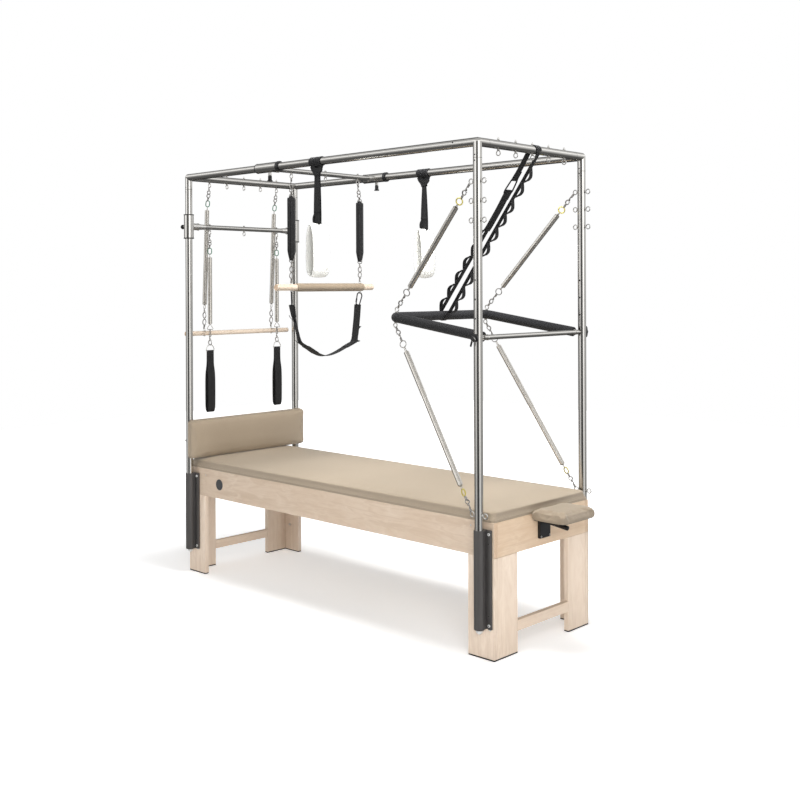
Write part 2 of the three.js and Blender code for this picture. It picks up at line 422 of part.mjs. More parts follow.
// ---------------------------------------------------------------- crossbar on the head posts
{
  const x = -POST_X, z = CROSS_Z;
  let t = tube([x, -POST_Y + 21, z], [x, POST_Y - 21, z], CROSS_R, CROSS_R - 2, 12);
  for (const y of [-240, 0, 240]) t = add(t, cyl([x, y, z - 28 + EYE_R], [x, y, z + CROSS_R + 6], 2.6, 5),
    ring(crossEye(x, y, z), [0, 1, 0], EYE_R, EYE_WIRE));
  for (const sy of [-1, 1]) {
    const y = sy * POST_Y, za = z - 66, zb = z + 66;
    t = add(t, cyl([x, y, za], [x, y, zb], 26.5, 12),
      cyl([x, y - sy * 21, z], [x, y - sy * 55, z], 18.5, 12), cyl([x, y - sy * 54, z], [x, y - sy * 104, z], 16.5, 12, 13.5),
      cyl([x, y - sy * 62, z - 22], [x, y - sy * 62, z + 22], 3.2, 5),
      cyl([x - 22, y, z], [x - 36, y, z], 9, 6));
    t = cut(t, cyl([x, y, za - 1], [x, y, zb + 1], COLLAR_RI, 12), cyl([x - 19.2, y, z], [x - 50, y, z], 4.8, 10),
      cyl([x, y, z], [x, y - sy * 106, z], 7, 12));
  }
  piece('head_crossbar', 'steel', t);
  for (const [side, sy] of [['near', -1], ['far', 1]]) {
    const y = sy * POST_Y;
    piece(`head_crossbar_pull_pin_${side}`, 'black', add(
      cyl([x - TUBE_R - 0.7, y, z], [x - 50, y, z], 4, 10), ball([x - 56, y, z], 12.5, 14)));
  }
  // hand springs and their loops
  for (const [side, sy] of [['near', -1], ['far', 1]]) {
    const y = sy * 240, e = crossEye(x, y, z), d = [0, 0, -1];
    piece(`hand_spring_${side}`, 'spring', add(link(e, d), cyl([x, y, e[2] - 19.5], [x, y, 1773], 2, 5),
      ring([x, y, 1762], [1, 0, 0], 12, 2.2, 8, 3), cyl([x, y, 1751], [x, y, 1720], 2, 5),
      coil([x, y, 1724], [x, y, 1358]), cyl([x, y, 1362], [x, y, 1240], 2, 5),
      ring([x, y, 1233], [0, 1, 0], 6.5, 1.6, 8, 3)));
    const out = [[x - 4, 1203], [x - 6, 1140], [x - 13, 1030], [x - 17, 940], [x - 17, 885], [x - 11, 870], [x, 866],
      [x + 11, 870], [x + 17, 885], [x + 17, 940], [x + 13, 1030], [x + 6, 1140], [x + 4, 1203]].reverse();
    const inn = [[x - 1, 1130], [x - 8, 1028], [x - 12, 938], [x - 12, 890], [x - 7, 876], [x, 873],
      [x + 7, 876], [x + 12, 890], [x + 12, 938], [x + 8, 1028], [x + 1, 1130]].reverse();
    piece(`hand_loop_${side}`, 'web', add(
      cut(plate(out, 'xz', y - 24, y + 24), plate(inn, 'xz', y - 30, y + 30)),
      cyl([x, y - 21, 1205], [x, y + 21, 1205], 3, 5),
      plate(band([[y - 20, 1205], [y - 19, 1222], [y - 8, 1233], [y + 8, 1233], [y + 19, 1222], [y + 20, 1205]], 4), 'yz', x - 2, x + 2)));
  }
}

// ---------------------------------------------------------------- roll-down bar
{
  let dowel = cyl([ROLL_X, -ROLL_HALF, ROLL_Z], [ROLL_X, ROLL_HALF, ROLL_Z], ROLL_R, 12);
  for (const y of [-240, 240]) dowel = add(dowel, ring([ROLL_X, y, ROLL_Z + ROLL_R + 6], [0, 1, 0], 7, 1.8, 8, 3));
  piece('roll_down_bar', 'maple', dowel);
  for (const [side, sy] of [['near', -1], ['far', 1]]) {
    const y = sy * 240, e = [-POST_X, y, TOP_Z - EYE_OUT], a = [-1040, y, 2028], b = [-1046.5, y, 1988];
    const c = [-1073, y, 1464], f = [ROLL_X, y, ROLL_Z + ROLL_R + 6];
    const d0 = dir(e, a), d1 = dir(a, b), d2 = dir(b, c), d3 = dir(f, c);
    piece(`roll_down_spring_${side}`, 'spring', add(link(e, d0), cyl(at(e, d0, 19.5), at(a, d0, -11), 2, 5),
      ring(a, V(d1).cross(new THREE.Vector3(0, 1, 0)).toArray(), 12, 2.2, 8, 3),
      cyl(at(a, d1, 11), at(b, d2, 5), 2, 5), coil(b, c),
      cyl(at(c, d2, -5), at(f, d3, 15.2), 2, 5), link(f, d3, 7, 1.4, 2.6)));
  }
}

// ---------------------------------------------------------------- fleece loops on the long tubes
for (const [side, sy] of [['near', -1], ['far', 1]]) {
  const y = sy * POST_Y, x = FLEECE_X;
  const o = [[x - 6, 1866], [x - 22, 1846], [x - 34, 1780], [x - 35, 1680], [x - 30, 1622], [x - 14, 1602], [x, 1599],
    [x + 14, 1602], [x + 30, 1622], [x + 35, 1680], [x + 34, 1780], [x + 22, 1846], [x + 6, 1866]].reverse();
  const i = [[x - 4, 1826], [x - 15, 1778], [x - 16, 1682], [x - 12, 1642], [x - 4, 1627], [x + 4, 1627],
    [x + 12, 1642], [x + 16, 1682], [x + 15, 1778], [x + 4, 1826]].reverse();
  piece(`fleece_loop_${side}`, 'fleece', add(
    tube([x - 42, y, TOP_Z], [x + 38, y, TOP_Z], 23.5, 19.7, 12),
    plate([[x - 38, 2138], [x - 34, 2116], [x - 14, 2094], [x + 16, 2094], [x + 40, 2118], [x + 34, 2138]].reverse(), 'xz', y - 5, y + 5),
    plate([[x - 13, 2100], [x - 25, 1900], [x - 25, 1862], [x + 25, 1862], [x + 25, 1900], [x + 13, 2100]].reverse(), 'xz', y - 2, y + 2),
    cut(plate(o, 'xz', y - 53, y + 53), plate(i, 'xz', y - 60, y + 60))));
}

// ---------------------------------------------------------------- safety strap
{
  // one closed loop of webbing round the foot-end top tube and the grip of the push-through bar
  const [bx, bz] = [barPt(barLen, 0)[0], barPt(barLen, 0)[2]];
  const d = new THREE.Vector2(POST_X - bx, TOP_Z - bz), L = d.length();
  d.divideScalar(L);
  const P = (along, off) => [bx + d.x * along - d.y * off, bz + d.y * along + d.x * off];
  const loop = (g) => {
    const r0 = FOAM_R + g, r1 = TUBE_R + g, tilt = Math.asin((r0 - r1) / L), pts = [], n = 10;
    for (let i = 0; i <= n; i++) { const a = Math.PI / 2 - tilt - (Math.PI - 2 * tilt) * i / n; pts.push(P(L + r1 * Math.cos(a), r1 * Math.sin(a))); }
    for (let i = 0; i <= n; i++) { const a = -Math.PI / 2 + tilt - (Math.PI + 2 * tilt) * i / n; pts.push(P(r0 * Math.cos(a), r0 * Math.sin(a))); }
    return pts.reverse();
  };
  piece('safety_strap', 'web', add(
    cut(plate(loop(2.8), 'xz', 4, 32), plate(loop(0.6), 'xz', 0, 40)),
    plate([P(480, 22.2), P(880, 20.2), P(880, 22.4), P(480, 24.4)].reverse(), 'xz', 6, 56)));
}

export default part;
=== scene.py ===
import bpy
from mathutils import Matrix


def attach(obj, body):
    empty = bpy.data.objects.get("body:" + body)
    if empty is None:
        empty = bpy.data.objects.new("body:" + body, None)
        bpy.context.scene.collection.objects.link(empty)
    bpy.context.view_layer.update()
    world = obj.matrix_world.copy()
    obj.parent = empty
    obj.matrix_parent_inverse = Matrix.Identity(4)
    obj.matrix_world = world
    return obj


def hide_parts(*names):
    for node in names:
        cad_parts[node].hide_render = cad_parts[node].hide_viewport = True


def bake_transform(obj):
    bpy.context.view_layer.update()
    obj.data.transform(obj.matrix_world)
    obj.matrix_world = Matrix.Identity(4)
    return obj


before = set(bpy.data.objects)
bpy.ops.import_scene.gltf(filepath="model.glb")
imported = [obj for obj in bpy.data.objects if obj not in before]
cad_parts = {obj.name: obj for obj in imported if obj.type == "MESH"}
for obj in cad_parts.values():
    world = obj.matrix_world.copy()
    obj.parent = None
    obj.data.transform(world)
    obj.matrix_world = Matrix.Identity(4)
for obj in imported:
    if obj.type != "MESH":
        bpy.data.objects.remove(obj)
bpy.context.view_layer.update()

import math

import bmesh
import bpy
import numpy as np
from mathutils import Matrix, Vector, noise

SX = -82.91            # the object's own frame is this far from the frame the sizes are written in, in mm
POST_X, POST_Y, TOP_Z, TR = 1023.0, 379.0, 2160.0, 19.0
POST_Z0 = 134.0
rng = np.random.default_rng(7)


# ------------------------------------------------------------------ camera
def make_camera():
    a, r = math.radians(43.7702), math.radians(-0.2324)
    back = Vector((math.sin(a), -math.cos(a), 0))
    right = Vector((math.cos(a), math.sin(a), 0))
    up = back.cross(right)
    rr = right * math.cos(r) + up * math.sin(r)
    uu = up * math.cos(r) - right * math.sin(r)
    data = bpy.data.cameras.new("photo_camera")
    cam = bpy.data.objects.new("photo_camera", data)
    bpy.context.scene.collection.objects.link(cam)
    m = Matrix((rr, uu, back)).transposed().to_4x4()
    m.translation = Vector((3.8824 + SX / 1000, -3.8321, 1.5581))
    cam.matrix_world = m
    data.sensor_width = 36
    data.lens = 48.43
    data.shift_y = -0.14155
    data.clip_start, data.clip_end = 0.05, 60
    bpy.context.scene.camera = cam


make_camera()


# ------------------------------------------------------------------ mesh kit
def V(*a):
    return np.array(a[0] if len(a) == 1 else a, float)


def unit(v):
    v = np.asarray(v, float)
    return v / max(np.linalg.norm(v), 1e-12)


def at(p, d, s):
    return V(p) + unit(d) * s


def rotv(v, axis, ang):
    axis = unit(axis)
    v = V(v)
    return v * math.cos(ang) + np.cross(axis, v) * math.sin(ang) + axis * (axis @ v) * (1 - math.cos(ang))


class Kit:
    def __init__(self):
        self.v, self.f, self.m, self.uv, self.n = [], [], [], [], 0

    def put(self, verts, faces, mat=0, uvs=None):
        verts = np.asarray(verts, float).reshape(-1, 3)
        o = self.n
        self.v.append(verts)
        self.n += len(verts)
        for i, f in enumerate(faces):
            self.f.append([k + o for k in f])
            self.m.append(mat)
            self.uv.append(uvs[i] if uvs is not None else [(0.0, 0.0)] * len(f))


def circle(r, n=20, phase=0.0):
    t = np.arange(n) * 2 * math.pi / n + phase
    return np.stack([np.cos(t), np.sin(t)], 1) * r


def rrect(w, h, r, n=3):
    r = min(r, w / 2 - 1e-6, h / 2 - 1e-6)
    p = []
    for cx, cy, a0 in ((w / 2 - r, h / 2 - r, 0), (-w / 2 + r, h / 2 - r, 90), (-w / 2 + r, -h / 2 + r, 180), (w / 2 - r, -h / 2 + r, 270)):
        for i in range(n + 1):
            a = math.radians(a0 + 90 * i / n)
            p.append((cx + r * math.cos(a), cy + r * math.sin(a)))
    return np.array(p)


def tangents(p, closed):
    if closed:
        t = np.roll(p, -1, 0) - np.roll(p, 1, 0)
    else:
        t = np.empty_like(p)
        t[1:-1] = p[2:] - p[:-2]
        t[0], t[-1] = p[1] - p[0], p[-1] - p[-2]
    return t / np.maximum(np.linalg.norm(t, axis=1, keepdims=True), 1e-9)


def frames(p, closed, side=None):
    """tangent, u, w at each point; side fixes u (one vector or one per point)."""
    t = tangents(p, closed)
    if side is not None:
        s = np.broadcast_to(np.asarray(side, float), p.shape)
        u = s - (s * t).sum(1, keepdims=True) * t
        u /= np.maximum(np.linalg.norm(u, axis=1, keepdims=True), 1e-9)
        return t, u, np.cross(t, u)
    u = np.empty_like(p)
    a = V(0, 0, 1) if abs(t[0][2]) < 0.9 else V(1, 0, 0)
    u[0] = unit(np.cross(a, t[0]))
    for i in range(1, len(p)):
        v = u[i - 1] - (u[i - 1] @ t[i]) * t[i]
        u[i] = unit(v)
    return t, u, np.cross(t, u)


def sweep(k, pts, sec, mat=0, closed=False, caps=True, side=None, scale=None, seam=0.0):
    p = np.asarray(pts, float)
    t, u, w = frames(p, closed, side)
    n, m = len(p), len(sec)
    sc = np.ones((n, 2)) if scale is None else np.asarray(scale, float).reshape(n, -1) * np.ones((1, 2))
    ring = (p[:, None, :] + u[:, None, :] * (sec[None, :, 0, None] * sc[:, None, 0, None])
            + w[:, None, :] * (sec[None, :, 1, None] * sc[:, None, 1, None]))
    seg = np.linalg.norm(np.roll(p, -1, 0) - p, axis=1)
    run = np.concatenate([[0], np.cumsum(seg)])
    sl = np.concatenate([[0], np.cumsum(np.linalg.norm(np.roll(sec, -1, 0) - sec, axis=1))]) + seam
    faces, uvs = [], []
    for i in range(n if closed else n - 1):
        j = (i + 1) % n
        for a in range(m):
            b = (a + 1) % m
            faces.append((i * m + a, i * m + b, j * m + b, j * m + a))
            uvs.append([(sl[a] / 1000, run[i] / 1000), (sl[a + 1] / 1000, run[i] / 1000),
                        (sl[a + 1] / 1000, run[i + 1] / 1000), (sl[a] / 1000, run[i + 1] / 1000)])
    k.put(ring, faces, mat, uvs)
    if caps and not closed:
        for i, rev in ((0, True), (n - 1, False)):
            f = list(range(m))
            if rev:
                f = f[::-1]
            k.put(ring[i], [f], mat)


def rod(k, a, b, r, mat=0, n=10):
    sweep(k, [a, b], circle(r, n), mat)


def wire(k, pts, r, mat=0, n=8, closed=False):
    sweep(k, pts, circle(r, n), mat, closed)


def lathe(k, p, d, prof, n=28, mat=0, phase=0.0):
    """Turned shape: prof is [(distance along d, radius)], from p."""
    p, d = V(p), unit(d)
    a = V(0, 0, 1) if abs(d[2]) < 0.9 else V(1, 0, 0)
    u = unit(np.cross(a, d))
    w = np.cross(d, u)
    c = circle(1, n, phase)
    verts, rows = [], []
    for s, r in prof:
        if r < 1e-6:
            rows.append((len(verts), 1))
            verts.append(p + d * s)
        else:
            rows.append((len(verts), n))
            for x, y in c:
                verts.append(p + d * s + (u * x + w * y) * r)
    faces = []
    for (i, ni), (j, nj) in zip(rows, rows[1:]):
        for q in range(n):
            e = (q + 1) % n
            if ni == 1 and nj == 1:
                continue
            if ni == 1:
                faces.append((i, j + e, j + q))
            elif nj == 1:
                faces.append((i + q, i + e, j))
            else:
                faces.append((i + q, i + e, j + e, j + q))
    faces = [f[::-1] for f in faces]
    for (i, ni), rev in ((rows[0], False), (rows[-1], True)):
        if ni > 1:
            f = list(range(i, i + ni))
            faces.append(f[::-1] if rev else f)
    faces = [f[::-1] for f in faces]
    k.put(verts, faces, mat)


def torus(k, c, nrm, R, r, mat=0, n=24, m=8, arc=None):
    c, nrm = V(c), unit(nrm)
    a = V(0, 0, 1) if abs(nrm[2]) < 0.9 else V(1, 0, 0)
    u = unit(np.cross(a, nrm))
    w = np.cross(nrm, u)
    t = np.arange(n) * 2 * math.pi / n
    pts = c + np.outer(np.cos(t), u) * R + np.outer(np.sin(t), w) * R
    sweep(k, pts, circle(r, m), mat, True)


def stadium(k, a, b, nrm, width, r, mat=0, n=7, m=8):
    """An oval link from a to b (its outer ends), lying in the plane with normal nrm."""
    a, b = V(a), V(b)
    d = unit(b - a)
    s = unit(np.cross(nrm, d))
    h = width / 2 - r
    L = np.linalg.norm(b - a)
    c0, c1 = a + d * (h + r), a + d * max(L - h - r, h + r + 0.01)
    pts = []
    for i in range(n + 1):
        t = math.pi * i / n
        pts.append(c1 + s * h * math.cos(t) + d * h * math.sin(t))
    for i in range(n + 1):
        t = math.pi * i / n
        pts.append(c0 - s * h * math.cos(t) - d * h * math.sin(t))
    wire(k, pts, r, mat, m, True)


def helix(k, a, b, R, wr, pitch, mat=0, n=12, m=5, taper=1.6, r_end=3.2):
    a, b = V(a), V(b)
    L = np.linalg.norm(b - a)
    d = (b - a) / L
    x = V(0, 1, 0) if abs(d[1]) < 0.9 else V(1, 0, 0)
    u = unit(np.cross(x, d))
    w = np.cross(d, u)
    turns = L / pitch
    N = int(turns * n)
    t = np.linspace(0, 1, N)
    ang = t * turns * 2 * math.pi
    e = np.minimum(t, 1 - t) * turns / taper
    rad = R - (R - r_end) * (1 - np.clip(e, 0, 1)) ** 1.5
    pts = a + np.outer(t * L, d) + (np.cos(ang) * rad)[:, None] * u + (np.sin(ang) * rad)[:, None] * w
    c, h = wr * 0.62, pitch * 0.492
    sec = np.array([(wr, -h * 0.66), (wr, h * 0.66), (wr * 0.84, h * 0.95), (0.1, h), (-wr, c), (-wr, -c), (0.1, -h), (wr * 0.84, -h * 0.95)])
    sweep(k, pts, sec, mat, side=np.cos(ang)[:, None] * u + np.sin(ang)[:, None] * w)
    return pts[0], pts[-1]


def rbox(k, x0, x1, y0, y1, z0, z1, r=2.0, seg=2, mat=0):
    bm = bmesh.new()
    bmesh.ops.create_cube(bm, size=1)
    for v in bm.verts:
        v.co = Vector(((x0 + x1) / 2 + v.co.x * (x1 - x0), (y0 + y1) / 2 + v.co.y * (y1 - y0), (z0 + z1) / 2 + v.co.z * (z1 - z0)))
    bmesh.ops.bevel(bm, geom=list(bm.edges), offset=r, segments=seg, profile=0.5, affect="EDGES", clamp_overlap=True)
    dump(k, bm, mat)


def dump(k, bm, mat=0):
    bm.verts.index_update()
    k.put([tuple(v.co) for v in bm.verts], [[v.index for v in f.verts] for f in bm.faces], mat)
    bm.free()


def prism(k, outline, o, u, v, depth, bevel=0.0, seg=2, mat=0):
    """Flat outline in the plane of unit vectors u, v at o, pushed out by depth along u x v."""
    o, u, v = V(o), unit(u), unit(v)
    n = np.cross(u, v)
    bm = bmesh.new()
    lo = [bm.verts.new(tuple(o + u * a + v * b)) for a, b in outline]
    hi = [bm.verts.new(tuple(o + u * a + v * b + n * depth)) for a, b in outline]
    bm.faces.new(lo[::-1])
    bm.faces.new(hi)
    m = len(outline)
    for i in range(m):
        j = (i + 1) % m
        bm.faces.new((lo[i], lo[j], hi[j], hi[i]))
    if bevel > 0:
        es = [e for e in bm.edges if any(len(f.verts) == m for f in e.link_faces)]
        bmesh.ops.bevel(bm, geom=es, offset=bevel, segments=seg, profile=0.5, affect="EDGES", clamp_overlap=True)
    bmesh.ops.recalc_face_normals(bm, faces=list(bm.faces))
    dump(k, bm, mat)


def hexnut(k, p, d, r=5.6, h=5.0, mat=0, phase=0.0):
    lathe(k, p, d, [(0, 0), (0, r * 0.88), (0.6, r), (h - 0.6, r), (h, r * 0.88), (h, 0)], 6, mat, phase)


def washer(k, p, d, r=7.0, h=1.3, mat=0):
    lathe(k, p, d, [(0, 0), (0, r - 0.3), (0.3, r), (h - 0.3, r), (h, r - 0.3), (h, 0)], 24, mat)


def cap_screw(k, p, d, r=6.5, h=5.0, mat=0, dark=None):
    """Socket-head screw: head on the side that points along d, with a hexagon recess."""
    lathe(k, p, d, [(0, 0), (0, r), (h - 1.0, r), (h, r - 0.9), (h, r * 0.52), (h - 0.2, r * 0.5)], 24, mat)
    lathe(k, at(p, d, h - 1.2), d, [(0, 0), (0, r * 0.6), (1.0, r * 0.5), (1.02, 0)], 6, mat if dark is None else dark)


def make(name, k, mats, body, nodes=(), angle=38, smooth=True, subsurf=0, sheet=None):
    me = bpy.data.meshes.new(name)
    v = np.concatenate(k.v) / 1000.0
    v[:, 0] += SX / 1000.0
    me.from_pydata([tuple(x) for x in v.tolist()], [], k.f)
    for m in (mats if isinstance(mats, (list, tuple)) else [mats]):
        me.materials.append(m)
    me.polygons.foreach_set("material_index", np.array(k.m, np.int32))
    uv = me.uv_layers.new(name="weave")
    flat = np.array([c for f in k.uv for c in f], np.float32)
    uv.data.foreach_set("uv", flat.ravel())
    me.update()
    me.validate()
    if smooth:
        me.shade_smooth()
        me.set_sharp_from_angle(angle=math.radians(angle))
    ob = bpy.data.objects.new(name, me)
    bpy.context.scene.collection.objects.link(ob)
    if subsurf:
        s = ob.modifiers.new("round", "SUBSURF")
        s.levels = s.render_levels = subsurf
        apply(ob)
    elif smooth and len(me.polygons) < 40000:
        weigh(ob)
    if body:
        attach(ob, body)
    if nodes:
        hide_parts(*nodes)
    return ob


def weigh(ob):
    """Normals follow the large faces, so that long tubes and boards shade true right up to their chamfers."""
    m = ob.modifiers.new("weighted", "WEIGHTED_NORMAL")
    m.mode, m.weight, m.keep_sharp = "FACE_AREA", 60, True
    apply(ob)


def apply(ob):
    dg = bpy.context.evaluated_depsgraph_get()
    me = bpy.data.meshes.new_from_object(ob.evaluated_get(dg), depsgraph=dg)
    ob.modifiers.clear()
    ob.data = me


def drill(ob, cutters, mat):
    """Cuts real holes: cutters is [(centre, direction, radius, half length)] in mm."""
    k = Kit()
    for c, d, r, h in cutters:
        lathe(k, at(c, d, -h), d, [(0, 0), (0, r), (2 * h, r), (2 * h, 0)], 20)
    me = bpy.data.meshes.new("cutter")
    v = np.concatenate(k.v) / 1000.0
    v[:, 0] += SX / 1000.0
    me.from_pydata([tuple(x) for x in v.tolist()], [], k.f)
    me.materials.append(mat)
    me.update()
    cob = bpy.data.objects.new("cutter", me)
    bpy.context.scene.collection.objects.link(cob)
    mod = ob.modifiers.new("holes", "BOOLEAN")
    mod.operation, mod.object, mod.solver = "DIFFERENCE", cob, "EXACT"
    apply(ob)
    ob.data.shade_smooth()
    ob.data.set_sharp_from_angle(angle=math.radians(30))
    weigh(ob)
    bpy.data.objects.remove(cob)


def smooth_path(pts, step=6.0, closed=False):
    """Catmull-Rom through pts, resampled evenly."""
    p = np.asarray(pts, float)
    n = len(p)
    out = []
    for i in range(n if closed else n - 1):
        if closed:
            a, b, c, d = p[(i - 1) % n], p[i], p[(i + 1) % n], p[(i + 2) % n]
        else:
            b, c = p[i], p[i + 1]
            a = p[i - 1] if i else 2 * b - c
            d = p[i + 2] if i + 2 < n else 2 * c - b
        m = max(2, int(np.linalg.norm(c - b) / step) + 1)
        for j in range(m):
            t = j / m
            out.append(0.5 * ((2 * b) + (c - a) * t + (2 * a - 5 * b + 4 * c - d) * t * t + (3 * b - a - 3 * c + d) * t ** 3))
    if not closed:
        out.append(p[-1])
    return np.array(out)


# ------------------------------------------------------------------ materials
class Nodes:
    def __init__(self, name):
        self.mat = bpy.data.materials.new(name)
        self.mat.use_nodes = True
        self.nt = self.mat.node_tree
        self.bsdf = next(n for n in self.nt.nodes if n.type == "BSDF_PRINCIPLED")

    def new(self, kind, props=None, **ins):
        n = self.nt.nodes.new("ShaderNode" + kind)
        for a, b in (props or {}).items():
            setattr(n, a, b)
        for a, b in ins.items():
            self.set(n, a.replace("_", " "), b)
        return n

    def set(self, n, key, val):
        s = n.inputs[int(key[2:])] if key.startswith("in") and key[2:].isdigit() else n.inputs[key]
        if isinstance(val, bpy.types.NodeSocket):
            self.nt.links.new(val, s)
        else:
            s.default_value = val

    def math(self, op, a, b=0.0, clamp=False):
        n = self.new("Math", {"operation": op, "use_clamp": clamp})
        self.set(n, "in0", a)
        self.set(n, "in1", b)
        return n.outputs[0]

    def ramp(self, fac, stops, interp="LINEAR"):
        n = self.new("ValToRGB")
        e = n.color_ramp
        e.interpolation = interp
        while len(e.elements) < len(stops):
            e.elements.new(0.5)
        for el, (pos, col) in zip(e.elements, stops):
            el.position = pos
            el.color = (*col, 1) if len(col) == 3 else col
        self.set(n, "Fac", fac)
        return n.outputs["Color"]

    def mix(self, fac, a, b, blend="MIX"):
        n = self.new("Mix", {"data_type": "RGBA", "blend_type": blend})
        self.set(n, "in0", fac)
        self.set(n, "in6", a if isinstance(a, bpy.types.NodeSocket) else (*a, 1))
        self.set(n, "in7", b if isinstance(b, bpy.types.NodeSocket) else (*b, 1))
        return n.outputs[2]

    def coords(self, scale=(1, 1, 1), kind="Object", rot=(0, 0, 0), add=None):
        tc = self.new("TexCoord")
        mp = self.new("Mapping", Scale=scale, Rotation=rot)
        v = tc.outputs[kind]
        if add is not None:
            a = self.new("VectorMath", {"operation": "ADD"})
            self.nt.links.new(v, a.inputs[0])
            self.nt.links.new(add, a.inputs[1])
            v = a.outputs[0]
        self.nt.links.new(v, mp.inputs["Vector"])
        return mp.outputs[0]

    def noise(self, vec, scale, detail=4.0, rough=0.5, dist=0.0):
        n = self.new("TexNoise", Scale=scale, Detail=detail, Roughness=rough, Distortion=dist)
        self.nt.links.new(vec, n.inputs["Vector"])
        return n.outputs["Fac"]

    def voronoi(self, vec, scale, feature="F1", rand=1.0):
        n = self.new("TexVoronoi", {"feature": feature}, Scale=scale, Randomness=rand)
        self.nt.links.new(vec, n.inputs["Vector"])
        return n.outputs["Distance"]

    def wave(self, vec, scale, direction="X", dist=0.0, dscale=1.0, profile="SIN", kind="BANDS"):
        n = self.new("TexWave", {"wave_type": kind, "wave_profile": profile}, Scale=scale, Distortion=dist, Detail_Scale=dscale)
        if kind == "BANDS":
            n.bands_direction = direction
        else:
            n.rings_direction = direction
        self.nt.links.new(vec, n.inputs["Vector"])
        return n.outputs["Fac"]

    def bump(self, h, strength, dist, normal=None):
        n = self.new("Bump", Strength=strength, Distance=dist)
        self.nt.links.new(h, n.inputs["Height"])
        if normal is not None:
            self.nt.links.new(normal, n.inputs["Normal"])
        return n.outputs[0]

    def base(self, color=None, rough=None, metal=0.0, normal=None, **consts):
        b = self.bsdf
        if color is not None:
            self.set(b, "Base Color", color if isinstance(color, bpy.types.NodeSocket) else (*color, 1))
        if rough is not None:
            self.set(b, "Roughness", rough)
        b.inputs["Metallic"].default_value = metal
        if normal is not None:
            self.nt.links.new(normal, b.inputs["Normal"])
        for key, val in consts.items():
            b.inputs[key.replace("_", " ")].default_value = val
        return self.mat

    def rand(self):
        return self.new("ObjectInfo").outputs["Random"]

    def span(self, x, lo, hi):
        n = self.new("MapRange")
        self.set(n, "Value", x)
        n.inputs["To Min"].default_value, n.inputs["To Max"].default_value = lo, hi
        return n.outputs[0]


def lin(r, g, b):
    f = lambda c: ((c / 255 + 0.055) / 1.055) ** 2.4 if c > 10 else c / 255 / 12.92
    return (f(r), f(g), f(b))


def maple(name, axis, tone_v=1.0, warm=1.0):
    """Pale maple: soft growth bands and fibres along one axis, short flecks, and end grain on cut faces."""
    n = Nodes(name)
    ax = "XYZ".index(axis)
    off = n.new("CombineXYZ")
    r = n.rand()
    for i, f in enumerate((3.1, 7.7, 5.3)):
        n.set(off, f"in{i}", n.math("MULTIPLY", r, f))
    s_long = [1, 1, 1]
    s_long[ax] = 0.07
    v = n.coords(tuple(s_long), add=off.outputs[0])
    s_fib = [1, 1, 1]
    s_fib[ax] = 0.02
    vf = n.coords(tuple(s_fib), add=off.outputs[0])
    broad = n.noise(v, 9, 3, 0.55, 0.6)
    rings = n.wave(v, 7, "YZX"[ax], 9.0, 1.6)
    fine = n.noise(vf, 420, 4, 0.6)
    fleck = n.noise(vf, 1100, 2, 0.5)
    cloud = n.noise(n.coords(), 3.2, 3, 0.5)
    s_mid = [1, 1, 1]
    s_mid[ax] = 0.30
    vm = n.coords(tuple(s_mid), add=off.outputs[0])
    curl = n.noise(vm, 26, 4, 0.55, 1.4)
    s_arch = [1, 1, 1]
    s_arch[ax] = 0.11
    arch = n.wave(n.coords(tuple(s_arch), add=off.outputs[0]), 15, "YZX"[ax], 7.0, 1.2)
    a = n.mix(n.ramp(rings, [(0.0, (0.0,) * 3), (0.62, (0.12,) * 3), (0.86, (0.85,) * 3), (1.0, (0.2,) * 3)]), lin(226, 204, 181), lin(189, 158, 129))
    a = n.mix(n.ramp(arch, [(0.80, (0.0,) * 3), (0.91, (0.62,) * 3), (0.98, (0.05,) * 3)]), a, lin(178, 142, 110))
    a = n.mix(n.ramp(curl, [(0.30, (0.70,) * 3), (0.50, (0.0,) * 3)]), a, lin(194, 160, 129))
    a = n.mix(n.ramp(curl, [(0.52, (0.0,) * 3), (0.68, (0.75,) * 3)]), a, lin(240, 223, 203))
    a = n.mix(n.span(broad, 0.0, 0.7), a, lin(229, 210, 189))
    a = n.mix(n.ramp(fine, [(0.35, (0.25,) * 3), (0.60, (0.0,) * 3)]), a, lin(200, 172, 143))
    a = n.mix(n.ramp(fleck, [(0.60, (0.0,) * 3), (0.70, (0.35,) * 3)]), a, lin(184, 152, 122))
    a = n.mix(n.ramp(cloud, [(0.30, (0.0,) * 3), (0.7, (0.6,) * 3)]), a, lin(207, 178, 150))
    tone = n.new("HueSaturation", Value=n.span(r, 0.95 * tone_v, 1.05 * tone_v), Saturation=warm)
    n.set(tone, "Color", a)
    a = tone.outputs[0]
    # end grain: where the surface looks along the grain
    tc = n.new("TexCoord")
    sep = n.new("SeparateXYZ")
    n.nt.links.new(tc.outputs["Normal"], sep.inputs[0])
    endf = n.math("GREATER_THAN", n.math("ABSOLUTE", sep.outputs[ax]), 0.8)
    er = n.wave(n.coords(), 34, "YZX"[ax], 6.0, 2.0)
    pores = n.noise(n.coords(), 1800, 2, 0.5)
    e = n.mix(er, lin(206, 176, 146), lin(184, 152, 121))
    e = n.mix(n.ramp(pores, [(0.5, (0.0,) * 3), (0.7, (0.5,) * 3)]), e, lin(132, 94, 62))
    col = n.mix(endf, a, e)
    edge = n.new("NewGeometry").outputs["Pointiness"]
    wear = n.ramp(edge, [(0.515, (0.0,) * 3), (0.58, (0.35,) * 3)])
    col = n.mix(wear, col, lin(236, 219, 199))
    h = n.math("ADD", n.math("MULTIPLY", fine, 0.7), n.math("MULTIPLY", rings, 0.25))
    rough = n.span(fine, 0.38, 0.52)
    return n.base(col, rough, 0.0, n.bump(h, 0.10, 0.0006), Coat_Weight=0.12, Coat_Roughness=0.32)


